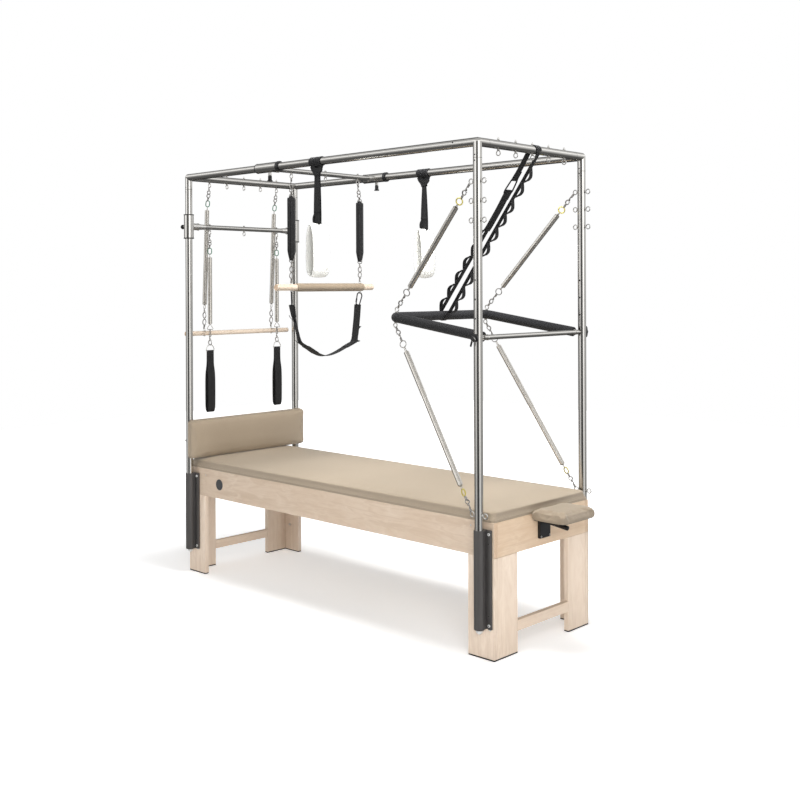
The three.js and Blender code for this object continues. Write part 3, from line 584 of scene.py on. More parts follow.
def vinyl(name, c1, c2, dark, painted_side_shade=0.0):
    """Upholstery vinyl: fine leather grain, slight clouding, rubbed edges, and painted shade on the sides and
    underside.
    """
    n = Nodes(name)
    v = n.coords()
    warp = n.noise(v, 60, 2, 0.5)
    cells = n.voronoi(v, 520, "DISTANCE_TO_EDGE", 0.95)
    cells2 = n.voronoi(v, 980, "F1", 1.0)
    cloud = n.noise(v, 4.5, 5, 0.6)
    fine = n.noise(v, 900, 3, 0.6)
    col = n.mix(n.span(cloud, 0.0, 1.0), c1, c2)
    crease = n.ramp(cells, [(0.0, (0.55,) * 3), (0.10, (0.0,) * 3)])
    col = n.mix(crease, col, dark)
    tc = n.new("TexCoord")
    sep = n.new("SeparateXYZ")
    n.nt.links.new(tc.outputs["Normal"], sep.inputs[0])
    side = n.ramp(sep.outputs[2], [(0.0, (painted_side_shade,) * 3), (0.35, (painted_side_shade * 0.8,) * 3), (0.85, (0.0,) * 3)])
    col = n.mix(side, col, dark)          # painted shade: sides and underside darker, from the surface normal
    edge = n.new("NewGeometry").outputs["Pointiness"]
    col = n.mix(n.ramp(edge, [(0.50, (0.0,) * 3), (0.56, (0.25,) * 3)]), col, c1)
    h = n.math("ADD", n.math("MULTIPLY", n.ramp(cells, [(0.0, (0.0,) * 3), (0.16, (1.0,) * 3)]), 1.0), n.math("MULTIPLY", cells2, 0.4))
    nb = n.bump(n.noise(v, 14, 3, 0.5), 0.12, 0.004)
    nrm = n.bump(h, 0.35, 0.0004, nb)
    rough = n.math("ADD", n.span(fine, 0.40, 0.52), n.math("MULTIPLY", warp, 0.06))
    return n.base(col, rough, 0.0, nrm, Sheen_Weight=0.12, Sheen_Roughness=0.5, Coat_Weight=0.06, Coat_Roughness=0.45)


def steel(name, axis=None, c=(196, 194, 190), r0=0.11, r1=0.19, scale=900):
    """Polished stainless steel with fine drawing marks along one axis."""
    n = Nodes(name)
    s = [1, 1, 1]
    if axis is not None:
        s["XYZ".index(axis)] = 0.012
    v = n.coords(tuple(s))
    marks = n.noise(v, scale, 4, 0.65)
    smudge = n.noise(n.coords(), 11, 4, 0.6)
    col = n.mix(marks, lin(c[0] - 7, c[1] - 7, c[2] - 7), lin(*c))
    col = n.mix(n.ramp(smudge, [(0.45, (0.0,) * 3), (0.75, (0.25,) * 3)]), col, lin(c[0] - 26, c[1] - 25, c[2] - 24))
    rough = n.math("ADD", n.span(marks, r0, r1), n.math("MULTIPLY", smudge, 0.05))
    return n.base(col, rough, 1.0, n.bump(marks, 0.012, 0.0002))


def painted(name, c, rough=(0.36, 0.5), metal=0.0, grain=700, bump=0.15):
    """Powder coat or moulded plastic: orange-peel texture, small colour shifts, rubbed edges."""
    n = Nodes(name)
    v = n.coords()
    peel = n.noise(v, grain, 3, 0.55)
    cloud = n.noise(v, 9, 4, 0.6)
    col = n.mix(n.span(cloud, 0, 1), lin(*[x * 0.9 for x in c]), lin(*[min(255, x * 1.1) for x in c]))
    edge = n.new("NewGeometry").outputs["Pointiness"]
    col = n.mix(n.ramp(edge, [(0.52, (0.0,) * 3), (0.60, (0.45,) * 3)]), col, lin(*[min(255, x * 1.55 + 8) for x in c]))
    r = n.span(peel, *rough)
    return n.base(col, r, metal, n.bump(peel, bump, 0.0004))


def webbing(name, c=(9, 9, 10), rib=(0.0017, 0.0022), light=1.6):
    """Flat woven strap: a plain weave across and along, from the strip's own coordinates."""
    n = Nodes(name)
    v = n.coords((1, 1, 1), "UV")
    sep = n.new("SeparateXYZ")
    n.nt.links.new(v, sep.inputs[0])
    wob = n.noise(n.coords(), 900, 2, 0.5)
    a = n.math("SINE", n.math("MULTIPLY", sep.outputs[0], 2 * math.pi / rib[0]))
    b = n.math("SINE", n.math("MULTIPLY", sep.outputs[1], 2 * math.pi / rib[1]))
    w = n.math("MULTIPLY", a, b)
    fib = n.noise(n.coords(), 2600, 2, 0.6)
    h = n.math("ADD", n.math("MULTIPLY", n.math("ABSOLUTE", w), 0.9), n.math("MULTIPLY", wob, 0.5))
    t = n.ramp(n.math("ADD", n.math("MULTIPLY", n.math("ABSOLUTE", w), 0.6), n.math("MULTIPLY", fib, 0.4)), [(0.15, lin(*[x * 0.62 for x in c])), (0.8, lin(*[x * light for x in c]))])
    cloud = n.noise(n.coords(), 16, 4, 0.6)
    t = n.mix(n.ramp(cloud, [(0.4, (0.0,) * 3), (0.8, (0.35,) * 3)]), t, lin(*[x * 1.9 for x in c]))
    return n.base(t, n.span(fib, 0.62, 0.85), 0.0, n.bump(h, 0.55, 0.0005), Sheen_Weight=0.06, Sheen_Roughness=0.45)


def padcloth(name, c=(11, 11, 12)):
    """Woven nylon cover of a padded strap."""
    n = Nodes(name)
    v = n.coords()
    a = n.wave(v, 320, "Y", 0.4, 8)
    b = n.wave(v, 320, "Z", 0.4, 8)
    w = n.math("MULTIPLY", a, b)
    fib = n.noise(v, 2200, 2, 0.6)
    cloud = n.noise(v, 18, 4, 0.6)
    col = n.mix(w, lin(*[x * 0.7 for x in c]), lin(*[x * 1.5 for x in c]))
    col = n.mix(n.ramp(cloud, [(0.4, (0.0,) * 3), (0.75, (0.35,) * 3)]), col, lin(*[x * 1.8 for x in c]))
    h = n.math("ADD", w, n.math("MULTIPLY", fib, 0.4))
    return n.base(col, n.span(fib, 0.6, 0.82), 0.0, n.bump(h, 0.45, 0.0004), Sheen_Weight=0.06, Sheen_Roughness=0.5)


def foam(name, c=(18, 18, 20)):
    n = Nodes(name)
    v = n.coords()
    pore = n.voronoi(v, 620, "F1", 1.0)
    pore2 = n.noise(v, 1700, 3, 0.6)
    cloud = n.noise(v, 13, 4, 0.6)
    col = n.mix(n.span(cloud, 0, 1), lin(*[x * 0.82 for x in c]), lin(*[x * 1.25 for x in c]))
    col = n.mix(n.ramp(pore, [(0.0, (0.3,) * 3), (0.3, (0.0,) * 3)]), col, lin(9, 9, 10))
    h = n.math("ADD", n.math("MULTIPLY", pore, 0.8), n.math("MULTIPLY", pore2, 0.5))
    nb = n.bump(n.noise(v, 40, 3, 0.5), 0.2, 0.003)
    return n.base(col, n.span(pore2, 0.70, 0.84), 0.0, n.bump(h, 0.22, 0.0005, nb), Sheen_Weight=0.05, Sheen_Roughness=0.6)


def fleece(name):
    n = Nodes(name)
    v = n.coords()
    tuft = n.voronoi(v, 130, "F1", 1.0)
    curl = n.noise(v, 420, 4, 0.7, 1.2)
    cloud = n.noise(v, 28, 4, 0.6)
    col = n.mix(n.span(cloud, 0, 1), lin(216, 216, 212), lin(206, 205, 200))
    col = n.mix(n.ramp(curl, [(0.30, (0.5,) * 3), (0.52, (0.0,) * 3)]), col, lin(212, 210, 203))
    # painted shade: greyer where the surface turns away from view, towards the outline
    turn = n.new("LayerWeight", Blend=0.42).outputs["Facing"]
    col = n.mix(n.ramp(turn, [(0.25, (0.0,) * 3), (0.85, (0.9,) * 3)]), col, lin(176, 176, 172))
    h = n.math("ADD", n.math("MULTIPLY", tuft, 0.9), n.math("MULTIPLY", curl, 0.8))
    return n.base(col, n.span(curl, 0.85, 0.98), 0.0, n.bump(h, 0.5, 0.0016), Sheen_Weight=0.04, Sheen_Roughness=0.6)


def coil_steel(name, c=(214, 210, 203)):
    n = Nodes(name)
    v = n.coords()
    a = n.noise(v, 300, 4, 0.65)
    b = n.noise(v, 26, 4, 0.6)
    col = n.mix(a, lin(*[x * 0.93 for x in c]), lin(*[min(255, x * 1.07) for x in c]))
    col = n.mix(n.ramp(b, [(0.45, (0.0,) * 3), (0.72, (0.35,) * 3)]), col, lin(178, 168, 156))
    return n.base(col, n.span(a, 0.20, 0.28), 1.0, n.bump(a, 0.02, 0.0001))


M = {
    "maple_x": maple("maple_along", "X", 0.80, 1.0), "maple_y": maple("maple_across", "Y", 1.08, 0.85), "maple_end": maple("maple_end_rail", "Y", 0.78, 1.34), "maple_z": maple("maple_upright", "Z", 1.03, 0.80),
    "dowel": maple("maple_dowel", "Y", 0.53, 0.85), "dowel_bar": maple("maple_trapeze_dowel", "Y", 0.43, 0.95),
    "vinyl": vinyl("vinyl_tan", lin(177, 162, 142), lin(166, 151, 130), lin(122, 108, 90), 0.45),
    "vinyl_pad": vinyl("vinyl_taupe", lin(160, 145, 125), lin(148, 133, 113), lin(107, 94, 78)),
    "vinyl_end": vinyl("vinyl_taupe_seat", lin(164, 149, 129), lin(152, 137, 117), lin(110, 97, 81), 0.42),
    "sleeve": vinyl("vinyl_seat_sleeve", lin(132, 118, 100), lin(122, 108, 91), lin(96, 84, 69)),
    "steel_x": steel("stainless_along", "X"), "steel_y": steel("stainless_across", "Y"), "steel_z": steel("stainless_upright", "Z"),
    "steel": steel("stainless_small", None, (226, 224, 220), 0.26, 0.36, 500),
    "bright": painted("zinc_plated_fastener", (205, 205, 203), (0.3, 0.42), 0.35, 900, 0.08),
    "dark_steel": steel("link_steel", None, (178, 175, 171), 0.13, 0.22, 500),
    "coil": coil_steel("spring_steel_wire"),
    "clamp": painted("grey_powder_coat", (62, 60, 59), (0.36, 0.5), 0.2, 900, 0.2),
    "plastic": painted("black_moulded", (15, 15, 16), (0.32, 0.46), 0.0, 1100, 0.12),
    "bore": painted("shadowed_hole", (14, 14, 14), (0.7, 0.9), 0.0, 400, 0.1),
    "web": webbing("black_webbing"),
    "web_dark": webbing("black_webbing_edge", (9, 9, 10)),
    "thread": painted("black_thread", (40, 40, 42), (0.6, 0.8), 0.0, 1600, 0.3),
    "pad": padcloth("black_padded_cloth"),
    "foam": foam("black_foam_grip"),
    "fleece": fleece("white_fleece"),
    "rubber": painted("black_rubber", (4, 4, 4), (0.9, 0.98), 0.0, 700, 0.25),
    "yellow": painted("yellow_coated_ring", (158, 146, 66), (0.3, 0.42), 0.0, 700, 0.1),
    "green": painted("green_coated_ring", (28, 74, 54), (0.3, 0.42), 0.0, 700, 0.1),
    "disc": painted("grey_disc", (62, 62, 64), (0.36, 0.5), 0.1, 900, 0.12),
}

NEAR_FAR = (("near", -1), ("far", 1))
ENDS = (("head", -1), ("foot", 1))


# ------------------------------------------------------------------ wooden base
def base():
    for side, sy in NEAR_FAR:
        k = Kit()
        ys = sorted((sy * 345, sy * 320))
        rbox(k, -1075, 1075, ys[0], ys[1], 427.3, 575, 2.2, 3)
        for x, z in ((-924, 540), (950, 550)):      # countersunk screws
            c = (x, sy * 345.05, z)
            lathe(k, c, (0, sy, 0), [(-0.6, 0), (-0.6, 3.0), (-0.2, 4.2), (0.12, 4.4), (0.12, 0)], 20, 1)
            lathe(k, c, (0, sy, 0), [(0.1, 0), (0.1, 1.9), (0.25, 1.8), (0.25, 0)], 6, 2)
        make(f"rail_board_{side}", k, [M["maple_x"], M["steel"], M["bore"]], "frame", [f"side_rail_{side}"])
    k = Kit()       # plain round disc on the near rail
    lathe(k, (-802, -345.1, 502), (0, -1, 0), [(0, 0), (0, 28.4), (0.8, 29), (1.6, 28.6), (2.0, 27.2), (1.5, 26.2), (1.5, 25.4), (1.9, 24.6), (2.1, 0)], 72, 0)
    make("rail_disc", k, [M["disc"]], "frame", ())
    for end, sx in ENDS:
        k = Kit()
        xs = sorted((sx * 1075, sx * 1050))
        rbox(k, xs[0], xs[1], -319.7, 319.7, 427.3, 575, 1.6, 2)
        make(f"end_board_{end}", k, M["maple_end"], "frame", [f"end_rail_{end}"])
        k = Kit()
        rbox(k, xs[0], xs[1], -185.7, 185.7, 92, 138, 2.0, 2)
        make(f"stretcher_board_{end}", k, M["maple_y"], "frame", [f"stretcher_{end}"])
        for side, sy in NEAR_FAR:
            ya, yb = sorted((sy * 345, sy * 320))
            k = Kit()
            xo = sorted((sx * 1075, sx * (1075 - 142)))
            rbox(k, xo[0], xo[1], ya, yb, 5.3, 427, 2.2, 3)
            p = (sx * 1006, sy * 319.7, 153)      # bolt of the clamp, from inside
            washer(k, p, (0, -sy, 0), 8, 1.4, 1)
            hexnut(k, at(p, (0, -sy, 0), 1.4), (0, -sy, 0), 6.4, 5, 1)
            rod(k, p, at(p, (0, -sy, 0), 8.4), 3.2, 1)
            make(f"leg_side_board_{end}_{side}", k, [M["maple_z"], M["steel"]], "frame", [f"leg_{end}_{side}"])
            k = Kit()
            xe = sorted((sx * 1075, sx * 1050))
            ye = sorted((sy * 319.6, sy * (345 - 159)))
            rbox(k, xe[0], xe[1], ye[0], ye[1], 5.3, 427, 2.0, 2)
            xb, yb2 = sorted((sx * 1049.7, sx * 1007.7)), sorted((sy * 319.5, sy * 277.7))
            rbox(k, xb[0], xb[1], yb2[0], yb2[1], 417, 555, 2.0, 2)
            make(f"leg_end_board_{end}_{side}", k, [M["maple_z"], M["steel"]], "frame", ())
            k = Kit()
            xp = sorted((sx * 1074.8, sx * (1075 - 141.6)))
            yp = sorted((sy * 344.8, sy * 320.6))
            rbox(k, xp[0], xp[1], yp[0], yp[1], 0, 5.2, 0.7, 2)
            xp = sorted((sx * 1074.8, sx * 1050.4))
            yp = sorted((sy * 320.2, sy * (345 - 158.6)))
            rbox(k, xp[0], xp[1], yp[0], yp[1], 0, 5.2, 0.7, 2)
            make(f"rubber_foot_{end}_{side}", k, M["rubber"], "frame", [f"foot_pad_{end}_{side}"])


base()


# ------------------------------------------------------------------ stuffed pieces
def grid_box(x0, x1, y0, y1, z0, z1, r, step, rz=None):
    """Closed box mesh with rounded corners in plan, for crowning and simulation."""
    k = Kit()
    rbox(k, x0, x1, y0, y1, z0, z1, r, 3)
    me = bpy.data.meshes.new("tmp")
    v = np.concatenate(k.v) / 1000.0
    v[:, 0] += SX / 1000
    me.from_pydata([tuple(x) for x in v.tolist()], [], k.f)
    me.update()
    return me


def prism_mesh(outline, o, u, v, depth, bevel, seg=3):
    k = Kit()
    prism(k, outline, o, u, v, depth, bevel, seg)
    me = bpy.data.meshes.new("tmp")
    w = np.concatenate(k.v) / 1000.0
    w[:, 0] += SX / 1000
    me.from_pydata([tuple(x) for x in w.tolist()], [], k.f)
    me.update()
    return me


def inflate(name, me, voxel, pressure, cap, frames_n=20, hold=None, stiff=15.0, shrink=-0.0):
    """Voxel remesh, cloth with pressure, movement capped, applied. hold(co) gives 0..1 of how far each point may move."""
    ob = bpy.data.objects.new(name, me)
    bpy.context.scene.collection.objects.link(ob)
    rm = ob.modifiers.new("voxels", "REMESH")
    rm.mode, rm.voxel_size, rm.use_smooth_shade = "VOXEL", voxel / 1000, True
    apply(ob)
    rest = np.array([v.co for v in ob.data.vertices])
    w = np.ones(len(rest)) if hold is None else np.clip(hold(rest * 1000 - V(SX, 0, 0)), 0, 1)
    cl = ob.modifiers.new("cloth", "CLOTH")
    s = cl.settings
    s.quality = 4
    s.mass = 0.4
    s.tension_stiffness = s.compression_stiffness = stiff
    s.shear_stiffness = 5
    s.bending_stiffness = 0.5
    s.use_pressure = True
    s.uniform_pressure_force = pressure
    s.effector_weights.gravity = 0
    s.shrink_min = shrink
    if hold is not None:
        g = ob.vertex_groups.new(name="pin")
        for i in np.where(w < 0.02)[0].tolist():
            g.add([i], 1.0, "REPLACE")
        s.vertex_group_mass = "pin"
    sc = bpy.context.scene
    for f in range(1, frames_n + 1):
        sc.frame_set(f)
    dg = bpy.context.evaluated_depsgraph_get()
    ev = ob.evaluated_get(dg)
    got = np.array([v.co for v in ev.data.vertices])
    ob.modifiers.clear()
    ob.vertex_groups.clear()
    sc.frame_set(1)
    d = got - rest
    ln = np.linalg.norm(d, axis=1, keepdims=True)
    d *= np.minimum(1, (cap / 1000) / np.maximum(ln, 1e-9)) * w[:, None]
    ob.data.vertices.foreach_set("co", (rest + d).ravel())
    ob.data.update()
    return ob


def reshape(ob, fn):
    """Moves each point: fn takes and gives points in mm."""
    co = np.array([v.co for v in ob.data.vertices]) * 1000 - V(SX, 0, 0)
    co = fn(co)
    ob.data.vertices.foreach_set("co", ((co + V(SX, 0, 0)) / 1000).ravel())
    ob.data.update()


def soften(ob, n=3, factor=0.5):
    m = ob.modifiers.new("even", "SMOOTH")
    m.iterations, m.factor = n, factor
    apply(ob)


def finish_soft(ob, mats, body, nodes, sub=1, angle=180):
    if sub:
        s = ob.modifiers.new("round", "SUBSURF")
        s.levels = s.render_levels = sub
        apply(ob)
    ob.data.materials.clear()
    for m in (mats if isinstance(mats, (list, tuple)) else [mats]):
        ob.data.materials.append(m)
    ob.data.shade_smooth()
    if angle < 180:
        ob.data.set_sharp_from_angle(angle=math.radians(angle))
    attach(ob, body)
    if nodes:
        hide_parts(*nodes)


def rr_outline(x0, x1, y0, y1, r, n=6):
    p = []
    for cx, cy, a0 in ((x1 - r, y1 - r, 0), (x0 + r, y1 - r, 90), (x0 + r, y0 + r, 180), (x1 - r, y0 + r, 270)):
        for i in range(n + 1):
            a = math.radians(a0 + 90 * i / n)
            p.append((cx + r * math.cos(a), cy + r * math.sin(a)))
    return p


def soft_falloff(d, w):
    t = np.clip(d / w, 0, 1)
    return t * t * (3 - 2 * t)


def fit(c, axis, lo, hi):
    """Scale one axis of the points so that they just fill lo to hi."""
    a, b = c[:, axis].min(), c[:, axis].max()
    c[:, axis] = lo + (c[:, axis] - a) * (hi - lo) / (b - a)


def mattress():
    me = prism_mesh(rr_outline(-1073, 1073, -343, 343, 22), (0, 0, 576.0), (1, 0, 0), (0, 1, 0), 43.5, 11, 4)
    ob = inflate("bed_mattress", me, 11, 4.0, 6, hold=lambda c: soft_falloff(c[:, 2] - 579, 14))

    def crown(c):
        ex = np.minimum(c[:, 0] + 1075, 1075 - c[:, 0])
        ey = np.minimum(c[:, 1] + 345, 345 - c[:, 1])
        up = np.clip((c[:, 2] - 577) / 43, 0, 1)
        dome = soft_falloff(ex, 150) * soft_falloff(ey, 150)
        c[:, 2] += up * (2.0 * dome)
        # light pulls along the wrapped edge
        wob = np.sin(c[:, 0] * 0.031) * np.sin(c[:, 0] * 0.0123 + 1.3)
        near = np.exp(-(ey / 12) ** 2) * np.clip(up * (1 - up) * 4, 0, 1)
        c[:, 1] += np.sign(c[:, 1]) * near * wob * 0.7
        # square lower edge, sitting on the rails
        low = np.clip((594 - c[:, 2]) / 9, 0, 1)
        ly, lx = low * (ey < 16), low * (ex < 16)
        c[:, 1] = c[:, 1] * (1 - ly) + np.sign(c[:, 1]) * 344.2 * ly
        c[:, 0] = c[:, 0] * (1 - lx) + np.sign(c[:, 0]) * 1074.2 * lx
        c[:, 0] = np.clip(c[:, 0], -1075.4, 1075.4)
        c[:, 1] = np.clip(c[:, 1], -345.6, 345.6)
        c[:, 2] = np.maximum(c[:, 2], 575.3)
        return c

    soften(ob, 2)
    reshape(ob, crown)
    finish_soft(ob, M["vinyl"], "frame", ["mattress"])
    k = Kit()       # wrapped base board of the mattress
    prism(k, rr_outline(-1074.4, 1074.4, -344.4, 344.4, 20, 8), (0, 0, 575.4), (1, 0, 0), (0, 1, 0), 11.0, 0.8, 2, 0)
    make("mattress_base_board", k, [M["vinyl"]], "frame", ())


def headboard():
    me = prism_mesh(rr_outline(-404, 404, 630, 834, 20), (-1000.5, 0, 0), (0, 1, 0), (0, 0, 1), 31.0, 7, 3)
    ob = inflate("headboard_cushion", me, 6, 4.0, 5, hold=lambda c: soft_falloff(c[:, 0] + 999, 14))

    def crown(c):
        ey = np.minimum(c[:, 1] + 407, 407 - c[:, 1])
        ez = np.minimum(c[:, 2] - 627, 837 - c[:, 2])
        f = np.clip((c[:, 0] + 1000) / 30, 0, 1)
        c[:, 0] += f * (5.0 * soft_falloff(ey, 90) * soft_falloff(ez, 80) - 1.0)
        # sides pull in a little between the corners
        c[:, 2] -= np.sign(c[:, 2] - 732) * 0.6 * np.clip(1 - (c[:, 1] / 400) ** 2, 0, 1) * np.clip(1 - ez / 30, 0, 1)
        fit(c, 1, -407.0, 407.0)
        fit(c, 2, 625.6, 837.4)
        return c

    soften(ob, 2)
    reshape(ob, crown)
    finish_soft(ob, M["vinyl_pad"], "frame", ["headboard"])
    # piping where the front cover meets the side, back board and its bolts
    k = Kit()
    o = np.array([(0, y, z) for y, z in rr_outline(-405.6, 405.6, 628.6, 835.4, 20, 8)])
    p = o.copy()
    p[:, 0] = -998.4
    wire(k, p, 1.6, 0, 8, True)
    prism(k, rr_outline(-398, 398, 636, 828, 16), (-1003.9, 0, 0), (0, 1, 0), (0, 0, 1), 3.4, 0.8, 2, 1)
    make("headboard_piping_and_board", k, [M["vinyl_pad"], M["plastic"]], "frame", ())
    k = Kit()
    for sy in (-1, 1):
        for z in (720,):
            p = (-1042.4, sy * 379, z)
            washer(k, p, (-1, 0, 0), 10, 1.6, 0)
            hexnut(k, at(p, (-1, 0, 0), 1.6), (-1, 0, 0), 8.2, 7, 0)
            lathe(k, at(p, (-1, 0, 0), 8.6), (-1, 0, 0), [(0, 4.2), (14, 4.2), (15, 3.4), (15, 0)], 20, 0)
            rod(k, (-1041.8, sy * 379, z), (-1004.5, sy * 379, z), 4.0, 0)
            washer(k, (-1004.2, sy * 379, z), (0.999, 0, 0), 3, 0.1, 0)
    make("headboard_bolts", k, [M["steel"], M["plastic"]], "frame", ())


ARM0, ARM1 = V(1090.5, -10, 536.2), V(1213, -10, 520.1)
ARMD = unit(ARM1 - ARM0)


def end_pad():
    me = prism_mesh(rr_outline(1080.5, 1255.5, -106.5, 141.5, 17, 6), (0, 0, 553.5), (1, 0, 0), (0, 1, 0), 37.0, 12, 4)
    ob = inflate("end_pad_cushion", me, 5, 4.0, 8, hold=lambda c: soft_falloff(c[:, 2] - 556, 12))

    def crown(c):
        ex = np.minimum(c[:, 0] - 1079, 1257 - c[:, 0])
        ey = np.minimum(c[:, 1] + 108, 143 - c[:, 1])
        up = np.clip((c[:, 2] - 556) / 32, 0, 1)
        c[:, 2] += up * 3.0 * soft_falloff(ex, 60) * soft_falloff(ey, 70)
        fit(c, 0, 1079.2, 1256.8)
        fit(c, 1, -107.8, 142.8)
        return c

    soften(ob, 2)
    reshape(ob, crown)
    finish_soft(ob, M["vinyl_end"], "end_pad", ["end_pad"])
    k = Kit()
    prism(k, rr_outline(1088, 1248, -99, 134, 14, 8), (0, 0, 551.2), (1, 0, 0), (0, 1, 0), 3.0, 0.8, 2, 0)
    lathe(k, ARM0, ARMD, [(2, 7.8), (2, 9.4), (2.8, 10), (119, 10), (122, 9.2), (123, 7.5), (123, 0)], 28, 0)
    rbox(k, 1140, 1176, -22, 2, 526, 551.5, 2, 2, 0)
    for x in (1148, 1168):
        for y in (-17, -3):
            lathe(k, (x, y, 526), (0, 0, -1), [(0, 0), (0, 3.2), (1.4, 2.6), (1.8, 0)], 16, 1)
    make("end_pad_arm", k, [M["plastic"], M["steel"]], "end_pad", ())
    k = Kit()
    rbox(k, 1075.3, 1090, -43, 32, 462, 548, 2.0, 2, 0)
    lathe(k, ARM0, ARMD, [(-4, 0), (-4, 7), (85, 7), (86, 6), (86, 0)], 24, 0)
    for y, z in ((-36, 470), (25, 470), (-36, 540), (25, 540)):
        cap_screw(k, (1090, y, z), (1, 0, 0), 4.6, 2.4, 1, 2)
    make("end_pad_plate", k, [M["plastic"], M["steel"], M["bore"]], "frame", ["end_pad_bracket"])


mattress()
headboard()
end_pad()


# ------------------------------------------------------------------ posts and their clamps
def eye(k, c, d, L, nuts=(), mat=0, R=10.5, wr=2.4, nrm=(0, 1, 0), shaft=3.0):
    """Eyebolt: ring round c, shaft along d for L, nuts at the distances given (negative faces back)."""
    torus(k, c, nrm, R, wr, mat, 28, 8)
    rod(k, at(c, d, R), at(c, d, L), shaft, mat, 12)
    for s in nuts:
        dd = unit(d) * (1 if s > 0 else -1)
        washer(k, at(c, d, abs(s)), dd, 6.6, 1.2, mat)
        hexnut(k, at(c, d, abs(s)) + dd * 1.2, dd, 5.8, 4.4, mat)


def post_clamp(end, sx, side, sy):
    px, py = sx * POST_X, sy * POST_Y
    k = Kit()
    lathe(k, (px, py, 132), (0, 0, 1), [(0, 19.6), (0, 21.6), (1.2, 22.6), (411.8, 22.6), (413, 21.6), (413, 19.6), (0, 19.6)][:6], 40, 0)
    ya, yb = sorted((sy * 345.3, sy * 352.3))
    rbox(k, px - 44, px + 44, ya, yb, 132, 545, 1.6, 2, 0)
    ya, yb = sorted((sy * 351, sy * 368))
    rbox(k, px - 19, px + 19, ya, yb, 132.4, 544.6, 1.6, 2, 0)
    for s in (-1, 1):       # raised strips at the plate's edges, and its screws
        ra, rb = sorted((px + s * 28.5, px + s * 44))      # raised edge, leaving a groove beside the tube
        rya, ryb = sorted((sy * 352, sy * 358.5))
        rbox(k, ra, rb, rya, ryb, 132, 545, 1.6, 2, 0)
        for z, m in ((150, 1), (529, 1), (190, 0), (489, 0)):
            cap_screw(k, (px + s * 36, sy * 358.4, z), (0, sy, 0), 5.8 if m else 4.2, 4.4 if m else 2.6, m, 2)
    make(f"clamp_{end}_{side}", k, [M["clamp"], M["bright"], M["bore"]], "frame", [f"post_clamp_{end}_{side}"])


def post(end, sx, side, sy):
    px, py = sx * POST_X, sy * POST_Y
    k = Kit()
    z1 = TOP_Z - 67 - 0.3
    lathe(k, (px, py, POST_Z0), (0, 0, 1), [(2, 17.0), (0, 17.4), (0, 18.4), (0.8, 19), (z1 - POST_Z0 - 0.5, 19), (z1 - POST_Z0, 18.5), (z1 - POST_Z0, 17), (2, 17.0)], 48, 0)
    ob = make(f"post_tube_{end}_{side}", k, [M["steel_z"], M["bore"]], "frame", [f"post_{end}_{side}"])
    if end == "foot":
        drill(ob, [((px, py, z), (0, 1, 0), 4.2, 30) for z in (1584.5, 1504.5, 1424.5)] + [((px, py, 1344.5), (0, 1, 0), 6.8, 30)], M["bore"])
    k = Kit()
    # bolt under the tube, and set screws by the seam
    lathe(k, (px, py, 134), (0, 0, -1), [(0, 0), (0, 18.4), (3.0, 18.4), (3.6, 17.6), (3.6, 0)], 32, 1)
    hexnut(k, (px, py, 130.4), (0, 0, -1), 14.0, 12, 2)
    rod(k, (px, py, 119), (px, py, 114), 6.5, 2)
    hexnut(k, (px + 34, sy * 350, 132.2), (0, 0, -1), 4.6, 5, 2)
    for z in (TOP_Z - 67 - 12, TOP_Z - 67 + 12):
        lathe(k, (px, py - 18.7, z), (0, -1, 0), [(0, 0), (0, 3.4), (0.6, 3.2), (0.8, 2.0), (0.5, 1.9), (0.5, 0)], 18, 1)
    torus(k, (px, py, TOP_Z - 67 + 0.3), (0, 0, 1), 18.75, 0.5, 1, 48, 6)
    if end == "foot":
        for z in (1997, 1915.5, 1834, 607):
            for s in (-1, 1):
                eye(k, (px + s * 35.5, py, z), (-s, 0, 0), 35.5, (-16.4,), 0)
    make(f"post_fittings_{end}_{side}", k, [M["steel"], M["bore"], M["bright"]], "frame", ())


for end, sx in ENDS:
    for side, sy in NEAR_FAR:
        post_clamp(end, sx, side, sy)
        post(end, sx, side, sy)


